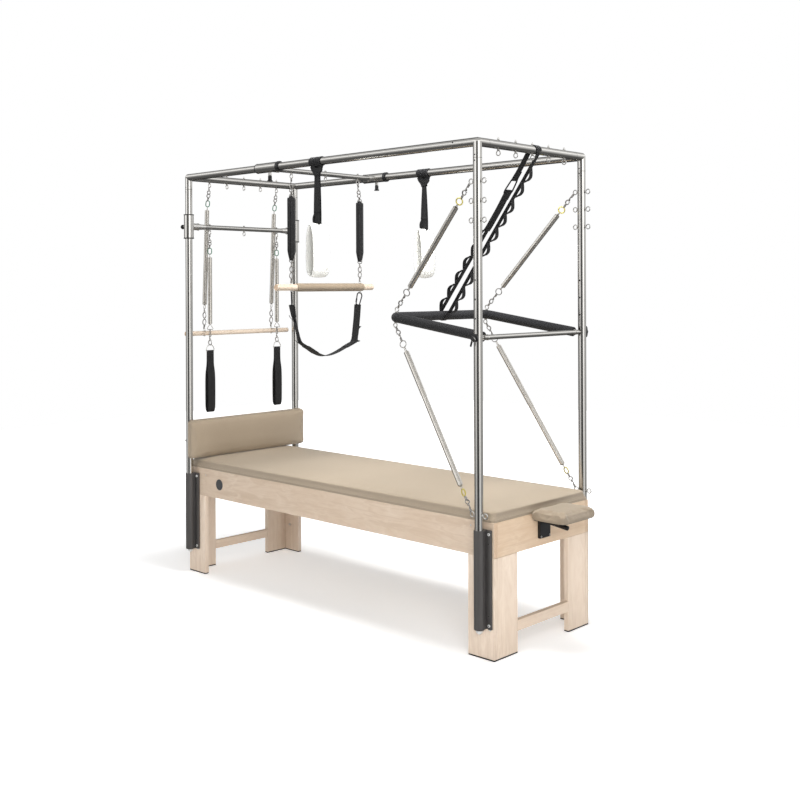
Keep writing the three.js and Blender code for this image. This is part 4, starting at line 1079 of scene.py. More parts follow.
# ------------------------------------------------------------------ top frame
def top_frame():
    for side, sy in NEAR_FAR:
        y = sy * POST_Y
        k = Kit()
        lathe(k, (-POST_X, y, TOP_Z), (1, 0, 0), [(0, 19), (2 * POST_X, 19)], 48, 0)
        for x in (-POST_X, POST_X):
            sph = [(-19 * math.cos(t), max(19 * math.sin(t), 0)) for t in np.linspace(0, math.pi, 25)]
            sph[0] = (sph[0][0], 0)
            sph[-1] = (sph[-1][0], 0)
            lathe(k, (x, y, TOP_Z), (1, 0, 0), sph, 48, 0)
            lathe(k, (x, y, TOP_Z), (0, 0, -1), [(0, 19), (66.4, 19), (66.7, 18.6), (66.7, 0)], 48, 1)
            lathe(k, (x, y, TOP_Z), (0, -sy, 0), [(0, 19), (59.4, 19), (59.7, 18.6), (59.7, 0)], 48, 2)
        make(f"top_tube_{side}", k, [M["steel_x"], M["steel_z"], M["steel_y"]], "frame", [f"top_rail_{side}"])
    k = Kit()
    lathe(k, (901.5, -POST_Y, TOP_Z), unit((0, -1, 0.35)), [(18.6, 0), (18.6, 3.6), (20.2, 3.4), (20.6, 2), (20.3, 1.9), (20.3, 0)], 18, 0)
    for side, sy in NEAR_FAR:
        for x in (-POST_X, POST_X):
            torus(k, (x, sy * (POST_Y - 59.9), TOP_Z), (0, 1, 0), 18.75, 0.5, 0, 48, 6)
    make("top_screw_and_seams", k, [M["bore"]], "frame", ())
    for end, sx in ENDS:
        x = sx * POST_X
        k = Kit()
        yi = POST_Y - 60.3
        lathe(k, (x, -yi, TOP_Z), (0, 1, 0), [(0, 0), (0, 18.6), (0.4, 19), (2 * yi - 0.4, 19), (2 * yi, 18.6), (2 * yi, 0)], 48, 0)
        make(f"top_tube_{end}", k, [M["steel_y"]], "frame", [f"top_end_tube_{end}"])
        k = Kit()
        for y in (-240, -120, 0, 120, 240):
            eye(k, (x, y, TOP_Z - 35.5), (0, 0, 1), 66, (-16.4, 54.6), 0)
            lathe(k, (x, y, TOP_Z + 18.0), (0, 0, 1), [(11.5, 0), (11.5, 3.4), (12.8, 3.2), (13.8, 2.0), (14.0, 0)], 14, 0)
        make(f"top_eyebolts_{end}", k, [M["steel"]], "frame", ())


top_frame()


# ------------------------------------------------------------------ springs
def snap(k, e0, e1, nrm, flip, mat):
    """A swivel snap hook from e0 to e1: eye, barrel, curved hook with its gate and thumb nub, lying in the plane with normal nrm."""
    if flip:
        e0, e1 = e1, e0
    e0, e1 = V(e0), V(e1)
    L = np.linalg.norm(e1 - e0)
    d = (e1 - e0) / L
    s = unit(np.cross(nrm, d)) * (-1 if flip else 1)
    torus(k, e0 + d * 7.4 - s * 2.2, rotv(nrm, d, 1.25), 6.4, 2.4, mat, 22, 8)
    lathe(k, e0 + d * 12.6, d, [(0, 0), (0, 3.4), (1.2, 4.8), (6.4, 5.2), (7.6, 3.6), (9.6, 3.2), (9.6, 0)], 20, mat)
    h0, h = 20.0, max(L - 20.0 - 2.3, 12.0)
    P = lambda v, f: e0 + d * (h0 + h * f) + s * v
    hook = smooth_path([P(0, -0.06), P(-3.4, 0.08), P(-8.4, 0.30), P(-8.8, 0.62), P(-5.2, 0.90), P(0, 1.0), P(5.4, 0.90), P(8.4, 0.64), P(8.0, 0.44)], 2.5)
    sweep(k, hook, circle(2.7, 10), mat, side=unit(nrm), scale=np.interp(np.linspace(0, 1, len(hook)), [0, 0.2, 0.8, 1.0], [1.15, 1.1, 1.0, 0.7]))
    rod(k, P(8.2, 0.46), P(1.6, 0.02), 1.7, mat, 10)
    rod(k, P(5.0, 0.22), P(9.6, 0.12), 1.5, mat, 8)


def chain(k, p, q, kinds, n0, mats):
    """Links and snap hooks from p to q, each hooked into the next. kinds is [(kind, share)]."""
    p, q = V(p), V(q)
    L = np.linalg.norm(q - p)
    d = (q - p) / L
    face = V(0.69, -0.72, 0.1)
    a = unit(face - d * face.dot(d))
    tot = sum(s for _, s in kinds)
    s0, hooks = 0.0, 0
    for i, (kind, share) in enumerate(kinds):
        s1 = s0 + L * share / tot
        e0, e1 = p + d * (s0 - 1.9), p + d * (s1 + 1.9)
        if kind == "link":
            stadium(k, e0, e1, rotv(a, d, 1.05 if i % 2 == 0 else -0.65), 15.4, 2.8, mats["link"])
        elif kind == "snap":
            snap(k, e0, e1, rotv(a, d, 0.25 - 0.4 * (hooks % 2)), hooks % 2 == 1, mats["link"])
            hooks += 1
        elif kind == "rod":
            rod(k, e0, e1, 1.8, mats["link"], 10)
        s0 = s1


def spring_piece(name, body, nodes, e, f, ring_at, ring_R, c0, c1, ring_mat, tail="long", blend=None, slot="spring_steel"):
    e, f = V(e), V(f)
    L = np.linalg.norm(f - e)
    d = (f - e) / L
    P = lambda s: e + d * s
    nrm = unit(np.cross(d, V(0, 1, 0)))
    side = unit(np.cross(d, nrm))
    mats = {"link": 1}
    k = Kit()
    chain(k, P(10.0), P(ring_at - ring_R), [("link", 0.6), ("snap", 1.2), ("link", 0.6)], (0, 1, 0), mats)
    torus(k, P(ring_at), unit(side + 0.35 * nrm), ring_R, 2.9, 2, 40, 12)
    stadium(k, P(ring_at + ring_R - 2.5), P(c0 - 3), nrm, 12, 1.9, 0)
    helix(k, P(c0 - 4), P(c1 + 4), 10.6, 1.42, 2.8, 0)
    return k, P, L, d, nrm, side


COIL_MATS = lambda ring: [M["coil"], M["dark_steel"], ring]
BAR_L = math.hypot(76.5, 539)
ct, st = 539 / BAR_L, 76.5 / BAR_L


def bar_pt(s, y, n=0.0):
    return V(POST_X - s * ct + n * st, y, 1344.5 + s * st + n * ct)


EYE_Y = 330 - 32 + math.sqrt(32 ** 2 - (534 - BAR_L + 32) ** 2)


def push_springs():
    for side, sy in NEAR_FAR:
        e, f = (987.5, sy * 379, 1997), bar_pt(534, sy * EYE_Y, 36)
        k, P, L, d, nrm, sd = spring_piece("u", "", "", e, f, 107, 15, 141, 592, M["yellow"])
        stadium(k, P(593), P(615), nrm, 13, 1.9, 0)
        torus(k, P(628), unit(sd + 0.3 * nrm), 15.5, 2.2, 1, 36, 10)
        chain(k, P(643), P(L - 9.5), [("link", 0.5), ("snap", 1.2), ("link", 0.5)], (0, 1, 0), {"link": 1})
        ob = make(f"upper_spring_{side}", k, COIL_MATS(M["yellow"]), None, (), 50)
        tuple((P(0) + V(SX, 0, 0)) / 1000)
        tuple((P(L) + V(SX, 0, 0)) / 1000)
        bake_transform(ob)
        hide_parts(f"push_spring_upper_{side}")

        e, f = (987.5, sy * 379, 607), bar_pt(534, sy * EYE_Y, -36)
        k, P, L, d, nrm, sd = spring_piece("l", "", "", e, f, 98, 15, 132, 783, M["yellow"])
        ob = make(f"lower_spring_{side}", k, COIL_MATS(M["yellow"]), None, (), 50)
        tuple((P(128) + V(SX, 0, 0)) / 1000)
        tuple((P(787) + V(SX, 0, 0)) / 1000)
        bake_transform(ob)
        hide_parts(f"push_spring_lower_{side}")
        k = Kit()
        stadium(k, P(785), P(812), nrm, 13, 1.9, 0)
        torus(k, P(825), unit(sd - 0.3 * nrm), 15.5, 2.1, 1, 36, 10)
        chain(k, P(840), P(L - 9.5), [("link", 0.5), ("snap", 1.2), ("link", 0.5)], (0, 1, 0), {"link": 1})
        make(f"lower_spring_hook_{side}", k, COIL_MATS(M["yellow"]), f"low_hook_{side}", [f"push_spring_hook_{side}"], 50)


push_springs()


# ------------------------------------------------------------------ push-through bar
def bar_route(s0, n=12):
    p = [bar_pt(s0, -330)]
    c, kk = BAR_L - 32, 330 - 32
    for i in range(n + 1):
        a = math.pi / 2 * i / n
        p.append(bar_pt(c + 32 * math.sin(a), -kk - 32 * math.cos(a)))
    for i in range(n + 1):
        a = math.pi / 2 * i / n
        p.append(bar_pt(c + 32 * math.cos(a), kk + 32 * math.sin(a)))
    p.append(bar_pt(s0, 330))
    return np.array(p)


def push_bar():
    k = Kit()
    r = bar_route(0)
    sweep(k, r, circle(11, 28), 0)
    lathe(k, (POST_X, -344, 1344.5), (0, 1, 0), [(0, 6.4), (0, 10.4), (0.6, 11), (687.4, 11), (688, 10.4), (688, 6.4)], 32, 0)
    for sy in (-1, 1):      # welded collars at the pivot and bushes
        lathe(k, (POST_X, sy * 316, 1344.5), (0, sy, 0), [(0, 11), (1, 12.6), (4, 12.6), (6, 11)], 28, 0)
        up, dn = bar_pt(534, sy * EYE_Y, 36), bar_pt(534, sy * EYE_Y, -36)
        d = unit(up - dn)
        torus(k, up, (0, 1, 0), 10.5, 2.4, 1, 28, 8)
        torus(k, dn, (0, 1, 0), 10.5, 2.4, 1, 28, 8)
        rod(k, at(dn, d, 10), at(up, d, -10), 3.0, 1, 12)
        washer(k, at(dn, d, 36 - 22 - 1.0), d, 7.4, 1.4, 1)
        washer(k, at(dn, d, 36 + 22 - 0.4), d, 7.4, 1.4, 1)
        hexnut(k, at(dn, d, 36 + 22 + 1.0), d, 5.8, 3.2, 1)
        hexnut(k, at(dn, d, 36 - 22 - 4.2), d, 5.8, 3.2, 1)
    make("bar_tube", k, [M["steel_y"], M["steel"]], "push_bar", ["push_bar_frame"])
    # foam grip with soft ends and the faint pinch of its bends
    r = bar_route(12, 14)
    a, b = r[0], r[-1]
    da, db = unit(r[1] - r[0]), unit(r[-2] - r[-1])
    pts = [a, a + da * 0.6, a + da * 2.2, a + da * 5] + [a + da * s for s in np.linspace(20, np.linalg.norm(r[1] - r[0]) - 4, 40)]
    mid = list(r[1:-1])
    row = []
    for i in range(len(mid) - 1):
        n = max(1, int(np.linalg.norm(mid[i + 1] - mid[i]) / 14))
        row += [mid[i] + (mid[i + 1] - mid[i]) * j / n for j in range(n)]
    row.append(mid[-1])
    tail = [b + db * s for s in np.linspace(np.linalg.norm(r[-2] - r[-1]) - 4, 20, 40)] + [b + db * 5, b + db * 2.2, b + db * 0.6, b]
    pts = np.array(pts + row + tail)
    n = len(pts)
    sc = np.ones(n)
    run = np.concatenate([[0], np.cumsum(np.linalg.norm(np.diff(pts, axis=0), axis=1))])
    sc *= 1 - 0.012 * (0.5 + 0.5 * np.sin(run * 0.045)) * (0.5 + 0.5 * np.sin(run * 0.0173 + 1))
    for i, s in ((0, 0.80), (1, 0.90), (2, 0.965), (n - 3, 0.965), (n - 2, 0.90), (n - 1, 0.80)):
        sc[i] = s
    k = Kit()
    sweep(k, pts, circle(22, 36), 0, scale=sc)
    ob = make("foam_grip", k, M["foam"], "push_bar", ["push_bar_foam"])
    # pull pin on the near post
    y = -POST_Y - TR
    k = Kit()
    lathe(k, (POST_X, y - 0.6, 1344.5), (0, -1, 0), [(0, 0), (0, 16), (1, 17), (5.5, 17), (7, 15.6), (7.4, 12.6), (8, 12), (12, 12), (17.4, 11.4), (19.4, 9.6), (19.4, 0)], 36, 0)
    for i in range(12):
        a = 2 * math.pi * i / 12
        c = V(POST_X + 12 * math.cos(a), y - 13.5, 1344.5 + 12 * math.sin(a))
        rod(k, c + V(0, 4.6, 0), c - V(0, 3.6, 0), 1.1, 0, 6)
    rod(k, (POST_X, y + 2, 1344.5), (POST_X, -300, 1344.5), 6, 1, 20)
    p0, p1 = V(POST_X - 4, -411.5, 1340), V(POST_X - 14, -411.5, 1308.5)
    sweep(k, [p0, p0 + (p1 - p0) * 0.5, p0 + (p1 - p0) * 0.93, p1], rrect(8, 5, 2, 3), 0, side=(1, 0, 0), scale=[1, 1.05, 1.0, 0.7])
    torus(k, (POST_X + 6, -416.0, 1338), unit((0.25, 1, 0.1)), 11, 0.9, 1, 30, 6)
    make("pull_pin_near", k, [M["plastic"], M["steel"]], "push_bar_pin", ["push_bar_pin_near"])
    # wing knob on the far post
    k = Kit()
    y = POST_Y + TR
    rod(k, (POST_X, 300, 1344.5), (POST_X, y + 3, 1344.5), 6, 1, 20)
    lathe(k, (POST_X, y + 0.6, 1344.5), (0, 1, 0), [(0, 0), (0, 12), (1, 12.6), (3.4, 12.6), (4.4, 9.6), (18, 9), (19.4, 7.6), (19.4, 0)], 30, 0)
    o = [(-9, -6), (-6, -18), (-5, -24), (-3, -26), (3, -26), (5, -24), (6, -18), (9, -6), (9, 6), (6, 18), (5, 24), (3, 26), (-3, 26), (-5, 24), (-6, 18), (-9, 6)]
    prism(k, o, (POST_X, 415, 1344.5), (1, 0, 0), (0, 0, 1), 9, 2.2, 3, 0)
    make("wing_knob_far", k, [M["plastic"], M["steel"]], "push_bar_wing_knob", ["push_bar_wing_knob_far"])


push_bar()


# ------------------------------------------------------------------ sliding crossbar
def slider():
    x, z = -330.0, 2154.0
    k = Kit()
    lathe(k, (x, -358, z), (0, 1, 0), [(0, 12.7), (716, 12.7)], 32, 0)
    for y in (-236, 0, 236):
        eye(k, (x, y, z - 28), (0, 0, 1), 28 + 18, (-14.2, 41.0), 1, shaft=2.6)
    for sy in (-1, 1):
        y = sy * POST_Y
        lathe(k, (-423, y, TOP_Z), (1, 0, 0), [(0.4, 20.4), (0.4, 24.4), (1, 25), (175, 25), (175.6, 24.4), (175.6, 20.4), (0.4, 20.4)], 44, 2)
        lathe(k, (-423, y, TOP_Z), (1, 0, 0), [(-0.4, 19.8), (-0.4, 24.9), (0.2, 25.4), (5.2, 25.4), (6, 24.8)], 44, 3)
        lathe(k, (-247, y, TOP_Z), (1, 0, 0), [(-15, 24.8), (-14.4, 26.2), (-1, 26.2), (0.4, 25.2), (0.4, 19.8)], 44, 3)
        lathe(k, (x, y - sy * 20, z), (0, -sy, 0), [(0, 16), (38, 16), (40, 15), (40, 12.8)], 32, 1)
        hexnut(k, (-327, y, 2135.4), (0, 0, -1), 9.4, 16.2, 1)
    make("slider_tube", k, [M["steel_y"], M["steel"], M["steel_x"], M["plastic"]], "slider", ["slider_crossbar"])
    for side, sy in NEAR_FAR:
        y = sy * POST_Y
        k = Kit()
        lathe(k, (-327, y, 2118.6), (0, 0, -1), [(0, 0), (0, 8), (1, 9), (20, 9), (22, 10.6), (23.4, 13.2), (24.8, 14), (27.4, 14), (28.6, 13), (28.6, 0)], 32, 0)
        for i in range(14):
            a = 2 * math.pi * i / 14
            rod(k, (-327 + 9 * math.cos(a), y + 9 * math.sin(a), 2116), (-327 + 9 * math.cos(a), y + 9 * math.sin(a), 2099), 0.9, 0, 6)
        rod(k, (-327, y, 2140.3), (-327, y, 2117), 4, 1, 18)
        make(f"slider_knob_{side}", k, [M["plastic"], M["steel"]], f"slider_pull_{side}", [f"slider_pull_knob_{side}"])


slider()


# ------------------------------------------------------------------ flat straps
def ribbon(k, pts, width, thick, side, mat=0, closed=False, stitch=None, smat=1, caps=True, wide=None):
    """Flat webbing along pts. side is the direction of its width. stitch is a list of offsets across it."""
    p = np.asarray(pts, float)
    sc = None if wide is None else np.stack([wide, np.ones(len(p))], 1)
    sweep(k, p, rrect(width, thick, min(thick * 0.45, 1.2), 2), mat, closed, caps, side, sc)
    if stitch:
        t, u, w = frames(p, closed, side)
        run = np.concatenate([[0], np.cumsum(np.linalg.norm(np.diff(p, axis=0), axis=1))])
        for off in stitch:
            s = 3.0
            while s < run[-1] - 3:
                for face in (-1, 1):
                    seg = []
                    for q in (s, s + 1.6, s + 3.2):
                        i = min(np.searchsorted(run, q) - 1, len(p) - 2)
                        i = max(i, 0)
                        f = (q - run[i]) / max(run[i + 1] - run[i], 1e-6)
                        c = p[i] * (1 - f) + p[i + 1] * f
                        uu = unit(u[i] * (1 - f) + u[i + 1] * f)
                        ww = unit(w[i] * (1 - f) + w[i + 1] * f)
                        seg.append(c + uu * off + ww * face * (thick / 2 + 0.15))
                    wire(k, seg, 0.45, smat, 4)
                s += 5.0


def hand_loops():
    x = -1023.0
    for side, sy in NEAR_FAR:
        y = sy * 240
        k = Kit()
        e = V(x, y, 1864)
        chain(k, e + V(0, 0, -10), (x, y, 1776), [("link", 0.45), ("snap", 1.0), ("snap", 1.0)], (0, 1, 0), {"link": 1})
        stadium(k, (x, y, 1780), (x, y, 1741), (0.8, -0.6, 0), 25, 2.5, 2)
        stadium(k, (x, y, 1745), (x, y, 1726), (-0.5, -0.8, 0), 12, 1.9, 0)
        helix(k, (x, y, 1728), (x, y, 1354), 10.6, 1.42, 2.8, 0)
        # triangular wire end, then the hook
        tri = smooth_path([(x + a * 0.72, y + a * 0.69, b) for a, b in ((0, 1358), (3, 1352), (15.5, 1332), (15.0, 1327.5), (12, 1325.5), (-12, 1325.5), (-15.0, 1327.5), (-15.5, 1332), (-3, 1352), (0, 1358))], 2.5)
        wire(k, tri, 1.9, 0, 8)
        chain(k, (x, y, 1324), (x, y, 1238), [("link", 0.5), ("link", 0.5), ("snap", 1.2)], (1, 0, 0), {"link": 1})
        make(f"hand_spring_coil_{side}", k, COIL_MATS(M["green"]), f"hand_{side}", [f"hand_spring_{side}"], 50)
        # D-ring and loop
        k = Kit()
        d = smooth_path([(x, y - 26, 1207), (x, y - 25, 1220), (x, y - 15, 1235), (x, y, 1240.5), (x, y + 15, 1235), (x, y + 25, 1220), (x, y + 26, 1207)], 3)
        pts = list(d) + [V(x, y + 23, 1204.6), V(x, y - 23, 1204.6)]
        wire(k, pts, 2.2, 2, 10, True)
        path = [(x - 2.6, 1204), (x - 3.2, 1180), (x - 3.6, 1140), (x - 7.5, 1108), (x - 12.5, 1060), (x - 13.8, 1000), (x - 13.4, 920), (x - 11, 880), (x - 5, 869.6), (x, 868.6),
                (x + 5, 869.6), (x + 11, 880), (x + 13.4, 920), (x + 13.8, 1000), (x + 12.5, 1060), (x + 7.5, 1108), (x + 3.6, 1140), (x + 3.2, 1180), (x + 2.6, 1204), (x, 1208.6)]
        pts = smooth_path([(a, y, b) for a, b in path], 6, True)
        wd = np.interp(pts[:, 2], [868, 900, 1090, 1120, 1210], [43.0, 47.0, 48.0, 44.0, 43.0]) / 48.0
        ribbon(k, pts, 48, 3.4, (0, 1, 0), 0, True, stitch=(-19, 19), wide=wd)
        for z in (1188, 1176, 1142):       # sewn-down end and tab
            sweep(k, [(x, y - 18, z), (x, y + 18, z)], rrect(8.6, 1.0, 0.4, 2), 1, side=(1, 0, 0))
        make(f"hand_loop_strap_{side}", k, [M["web"], M["thread"], M["steel"]], f"hand_{side}", [f"hand_loop_{side}"], 50)


def roll_down():
    x, z = -1076.5, 1303.0
    k = Kit()
    lathe(k, (x, -365, z), (0, 1, 0), [(0, 0), (0, 11.6), (1.4, 13), (728.6, 13), (730, 11.6), (730, 0)], 36, 0)
    for y in (-240, 240):
        torus(k, (x, y, z + 19.4), (0, 1, 0), 7, 1.8, 1, 24, 8)
        rod(k, (x, y, z + 13.5), (x, y, z - 14), 2.4, 1, 12)
        washer(k, (x, y, z + 12.6), (0, 0, 1), 6, 1.2, 1)
        washer(k, (x, y, z - 12.6), (0, 0, -1), 6, 1.2, 1)
        hexnut(k, (x, y, z - 13.6), (0, 0, -1), 5.2, 3.6, 1)
    make("roll_down_dowel", k, [M["dowel"], M["steel"]], "roll_down", ["roll_down_bar"])
    for side, sy in NEAR_FAR:
        y = sy * 240
        e, a, b, c, f = V(-1023, y, 2124.5), V(-1040, y, 2028), V(-1046.5, y, 1988), V(-1073, y, 1464), V(x, y, z + 19.4)
        k = Kit()
        chain(k, at(e, a - e, 10), at(a, e - a, 13), [("snap", 1.0), ("snap", 1.0)], (0, 1, 0), {"link": 1})
        stadium(k, at(a, e - a, 16), at(a, b - a, 23), (0.8, -0.6, 0), 25, 2.5, 2)
        stadium(k, at(a, b - a, 19), at(b, c - b, -2), (-0.5, -0.8, 0.1), 12, 1.9, 0)
        helix(k, at(b, c - b, -3), at(c, c - b, 3), 10.6, 1.42, 2.8, 0)
        stadium(k, at(c, b - c, -2), at(c, f - c, 26), (1, 0, 0), 15, 1.8, 0)
        chain(k, at(c, f - c, 24), at(f, c - f, 7), [("snap", 1.0), ("rod", 0.1), ("snap", 1.0)], (1, 0, 0), {"link": 1})
        make(f"roll_down_coil_{side}", k, COIL_MATS(M["green"]), "roll_down", [f"roll_down_spring_{side}"], 50)


hand_loops()
roll_down()


# ------------------------------------------------------------------ crossbar on the head posts
def head_crossbar():
    x, z = -1023.0, 1892.0
    k = Kit()
    lathe(k, (x, -358, z), (0, 1, 0), [(0, 12.7), (716, 12.7)], 32, 0)
    for y in (-240, 0, 240):
        eye(k, (x, y, z - 28), (0, 0, 1), 28 + 18, (-14.2, 41.0), 1, shaft=2.6)
    for sy in (-1, 1):
        y = sy * POST_Y
        lathe(k, (x, y, z - 66), (0, 0, 1), [(1, 20.4), (1, 26), (1.4, 26.5), (130.6, 26.5), (131, 26), (131, 20.4), (1, 20.4)], 44, 2)
        for s in (-1, 1):
            lathe(k, (x, y, z + s * 66), (0, 0, -s), [(-0.4, 19.8), (-0.4, 27.2), (0.4, 28), (4.4, 28), (5.2, 26.4)], 44, 3)
        lathe(k, (x, y - sy * 21, z), (0, -sy, 0), [(0, 18.5), (32, 18.5), (34, 17.6), (34.2, 16.5), (80, 13.8), (83, 13.4), (83, 12.7)], 36, 1)
        rod(k, (x, y - sy * 62, z - 20), (x, y - sy * 62, z + 20), 3.0, 1, 14)
        hexnut(k, (x, y - sy * 62, z + 16), (0, 0, 1), 5.6, 4.6, 1)
        hexnut(k, (x, y - sy * 62, z - 16), (0, 0, -1), 5.6, 4.6, 1)
        lathe(k, (x - 22, y, z), (-1, 0, 0), [(3, 10.4), (4, 10.6), (8, 10.6), (9, 9.2), (14, 9.0), (14, 4.4)], 30, 1)
    make("crossbar_tube", k, [M["steel_y"], M["steel"], M["steel_z"], M["plastic"]], "head_crossbar", ["head_crossbar"])
    for side, sy in NEAR_FAR:
        y = sy * POST_Y
        k = Kit()
        rod(k, (x - 19.7, y, z), (x - 46, y, z), 4, 1, 18)
        pr = [(-43.2 + 0.2, 0), (-43.2, 5.4)] + [(-56 + 12.5 * math.cos(t), 12.5 * math.sin(t)) for t in np.linspace(0.55, math.pi - 0.001, 14)]
        prof = [(-s, r) for s, r in pr]
        prof[-1] = (prof[-1][0], 0)
        lathe(k, (x, y, z), (-1, 0, 0), prof, 30, 0)
        make(f"crossbar_ball_knob_{side}", k, [M["plastic"], M["steel"]], f"crossbar_pull_{side}", [f"head_crossbar_pull_pin_{side}"])


head_crossbar()


# ------------------------------------------------------------------ trapeze
def pillow(k, c, axis, wid, thk, prof, nu=10, mat=0, crown=1.0):
    """Padded strap: c is its lower end, axis its length, wid and thk unit vectors; prof is [(s, half width, half thickness)]."""
    c, axis, wid, thk = V(c), unit(axis), unit(wid), unit(thk)
    s = np.array([p[0] for p in prof])
    rows = np.linspace(s[0], s[-1], max(12, int((s[-1] - s[0]) / 7)))
    hw = np.interp(rows, s, [p[1] for p in prof])
    ht = np.interp(rows, s, [p[2] for p in prof])
    ring = []
    for r, a, b in zip(rows, hw, ht):
        for i in range(2 * nu):
            t = math.pi * 2 * i / (2 * nu)
            cx, cy = math.cos(t), math.sin(t)
            px = math.copysign(abs(cx) ** 0.55, cx)
            py = math.copysign(abs(cy) ** 0.8, cy) * (0.42 + 0.58 * (1 - abs(px) ** 5))
            q = 1 + 0.05 * noise.noise(Vector((r * 0.03, px * 1.7, py * 1.7 + float(c[1]) * 0.1)))
            ring.append(c + axis * r + wid * px * a + thk * py * b * q)
    m = 2 * nu
    n = len(rows)
    faces = [(i * m + j, i * m + (j + 1) % m, (i + 1) * m + (j + 1) % m, (i + 1) * m + j) for i in range(n - 1) for j in range(m)]
    faces.append(tuple(range(m))[::-1])
    faces.append(tuple(range((n - 1) * m, n * m)))
    k.put(ring, faces, mat)


def trapeze():
    x, z = -330.0, 1557.0
    k = Kit()
    lathe(k, (x, -341, z), (0, 1, 0), [(0, 0), (0, 15.3), (1.2, 16.5), (680.8, 16.5), (682, 15.3), (682, 0)], 40, 0)
    for y, r in ((-238, 13), (250, 21)):
        for s in (-1, 1):
            ro = 21 if y > 0 else 16.6
            torus(k, (x, y, z + s * (r + 6)), (0, 1, 0), 7, 1.8, 1, 24, 8)
            rod(k, (x, y, z), (x, y, z + s * (ro + 1)), 2.2, 1, 12)
            washer(k, (x, y, z + s * (ro - 0.6)), (0, 0, s), 5.6, 1.2, 1)
    make("trapeze_dowel", k, [M["dowel_bar"], M["steel"]], "trapeze", ["trapeze_bar"])
    # sewn seat sleeve over the dowel
    k = Kit()
    ys = np.concatenate([[-207, -206.4, -205, -202], np.linspace(-196, 257, 60), [263, 266, 267.4, 268]])
    sc = np.ones(len(ys))
    for i, s in enumerate((0.86, 0.94, 0.985, 1.0)):
        sc[i] = sc[-1 - i] = s
    sc[4:-4] += 0.012 * np.sin(ys[4:-4] * 0.075) * np.sin(ys[4:-4] * 0.021 + 0.8)
    sweep(k, [(x, y, z) for y in ys], circle(21, 40), 0, scale=sc)
    wire(k, [(x, y, z - 21.1) for y in np.linspace(-198, 259, 60)], 0.8, 1, 6)
    for yy in (-199, 260):
        torus(k, (x, yy, z), (0, 1, 0), 20.6, 0.7, 1, 40, 6)
    ob = make("trapeze_seat_sleeve", k, [M["sleeve"], M["vinyl_pad"]], "trapeze", (), 60)
    for (side, sy), y, low, e_y in zip(NEAR_FAR, (-236, 250), ((-238, 13), (250, 21)), (-236, 236)):
        e = V(x, e_y, 2126)
        k = Kit()
        chain(k, at(e, V(x, y, 2020) - e, 10), (x, y, 2026), [("link", 0.5), ("snap", 1.1), ("snap", 1.1)], (0, 1, 0), {"link": 1})
        torus(k, (x, y, 2024), (0.75, -0.66, 0), 11, 2.2, 1, 30, 10)
        torus(k, (x, y, 1695), (0.75, -0.66, 0), 11, 2.2, 1, 30, 10)
        chain(k, (x, y, 1686), (x, low[0], z + low[1] + 12.6), [("snap", 1.1), ("snap", 1.1)], (0, 1, 0), {"link": 1})
        make(f"trapeze_chain_{side}", k, COIL_MATS(M["steel"]), "trapeze", (), 50)
        k = Kit()
        pillow(k, (x, y, 1702), (0, 0, 1), (0, 1, 0), (1, 0, 0),
               [(0, 13, 3), (4, 15.5, 4), (40, 26, 6), (60, 26.5, 7), (180, 26.5, 7), (280, 26.5, 7), (306, 26.5, 6.5), (311, 25.5, 5.4), (314, 23, 4)], 14, 0)
        for s in (-1, 1):       # bound edges
            pts = smooth_path([(x, y + s * 15, 1703), (x, y + s * 25.4, 1742), (x, y + s * 26, 1770), (x, y + s * 26, 1960), (x, y + s * 26, 2005), (x, y + s * 24.6, 2014)], 8)
            wire(k, pts, 1.7, 2, 8)
        ribbon(k, smooth_path([(x - 7.4, y, 1712), (x - 8.0, y, 1760), (x - 8.0, y, 1960), (x - 7.4, y, 2008), (x - 2.5, y, 2020), (x, y, 2024), (x + 2.5, y, 2020),
                               (x + 7.4, y, 2008), (x + 8.0, y, 1960), (x + 8.0, y, 1760), (x + 7.4, y, 1712), (x + 2.5, y, 1699), (x, y, 1695), (x - 2.5, y, 1699)], 8, True),
               25, 1.8, (0, 1, 0), 1, True, stitch=(-10, 10), smat=3)
        ob = make(f"trapeze_pad_{side}", k, [M["pad"], M["web"], M["web_dark"], M["thread"]], "trapeze", [f"trapeze_strap_{side}"], 60)
    # sling: webbing turned edge-on near its near end, broad at its far end
    k = Kit()
    route = [(-236, 1467), (-231, 1443), (-224, 1410), (-213, 1372), (-202, 1335), (-190, 1295), (-178, 1272), (-150, 1254), (-128, 1243), (-60, 1207), (-5, 1196),
             (60, 1208), (128, 1233), (180, 1253), (203, 1264), (211, 1296), (218, 1340), (226, 1400), (232, 1463)]
    turn = [8, 12, 20, 24, 25, 22, 18, 12, 8, 2, 0, -4, -8, -10, -6, 0, 0, 0, 0]
    pts, side = [], []
    for i in range(len(route) - 1):
        n = max(2, int(math.dist(route[i], route[i + 1]) / 6))
        for j in range(n):
            side.append(math.radians(turn[i] + (turn[i + 1] - turn[i]) * j / n))
    pts = smooth_path([(x, a, b) for a, b in route], 6)
    side = np.interp(np.linspace(0, 1, len(pts)), np.linspace(0, 1, len(side)), side)
    sv = np.stack([np.cos(side), -np.sin(side), 0.10 * np.ones(len(side))], 1)
    ribbon(k, pts, 48, 3.0, sv, 0, False, stitch=(-20, 20), smat=1)

    def part(a, b, w, th, off=0.0):
        n0, n1 = int(a * (len(pts) - 1)), int(b * (len(pts) - 1))
        t, u, ww = frames(pts[n0:n1 + 1], False, sv[n0:n1 + 1])
        q = pts[n0:n1 + 1] + ww * off
        sc = np.ones(len(q))
        sc[0] = sc[-1] = 0.86
        sweep(k, q, rrect(w, th, th * 0.42, 3), 0, side=sv[n0:n1 + 1], scale=np.stack([np.ones(len(q)), sc], 1))

    part(0.0, 0.085, 44, 15)            # padded end by the near hook
    part(0.30, 0.40, 50, 7.5)           # sewn doubled lengths
    part(0.66, 0.77, 50, 7.5)
    part(0.80, 1.0, 50, 5.2)
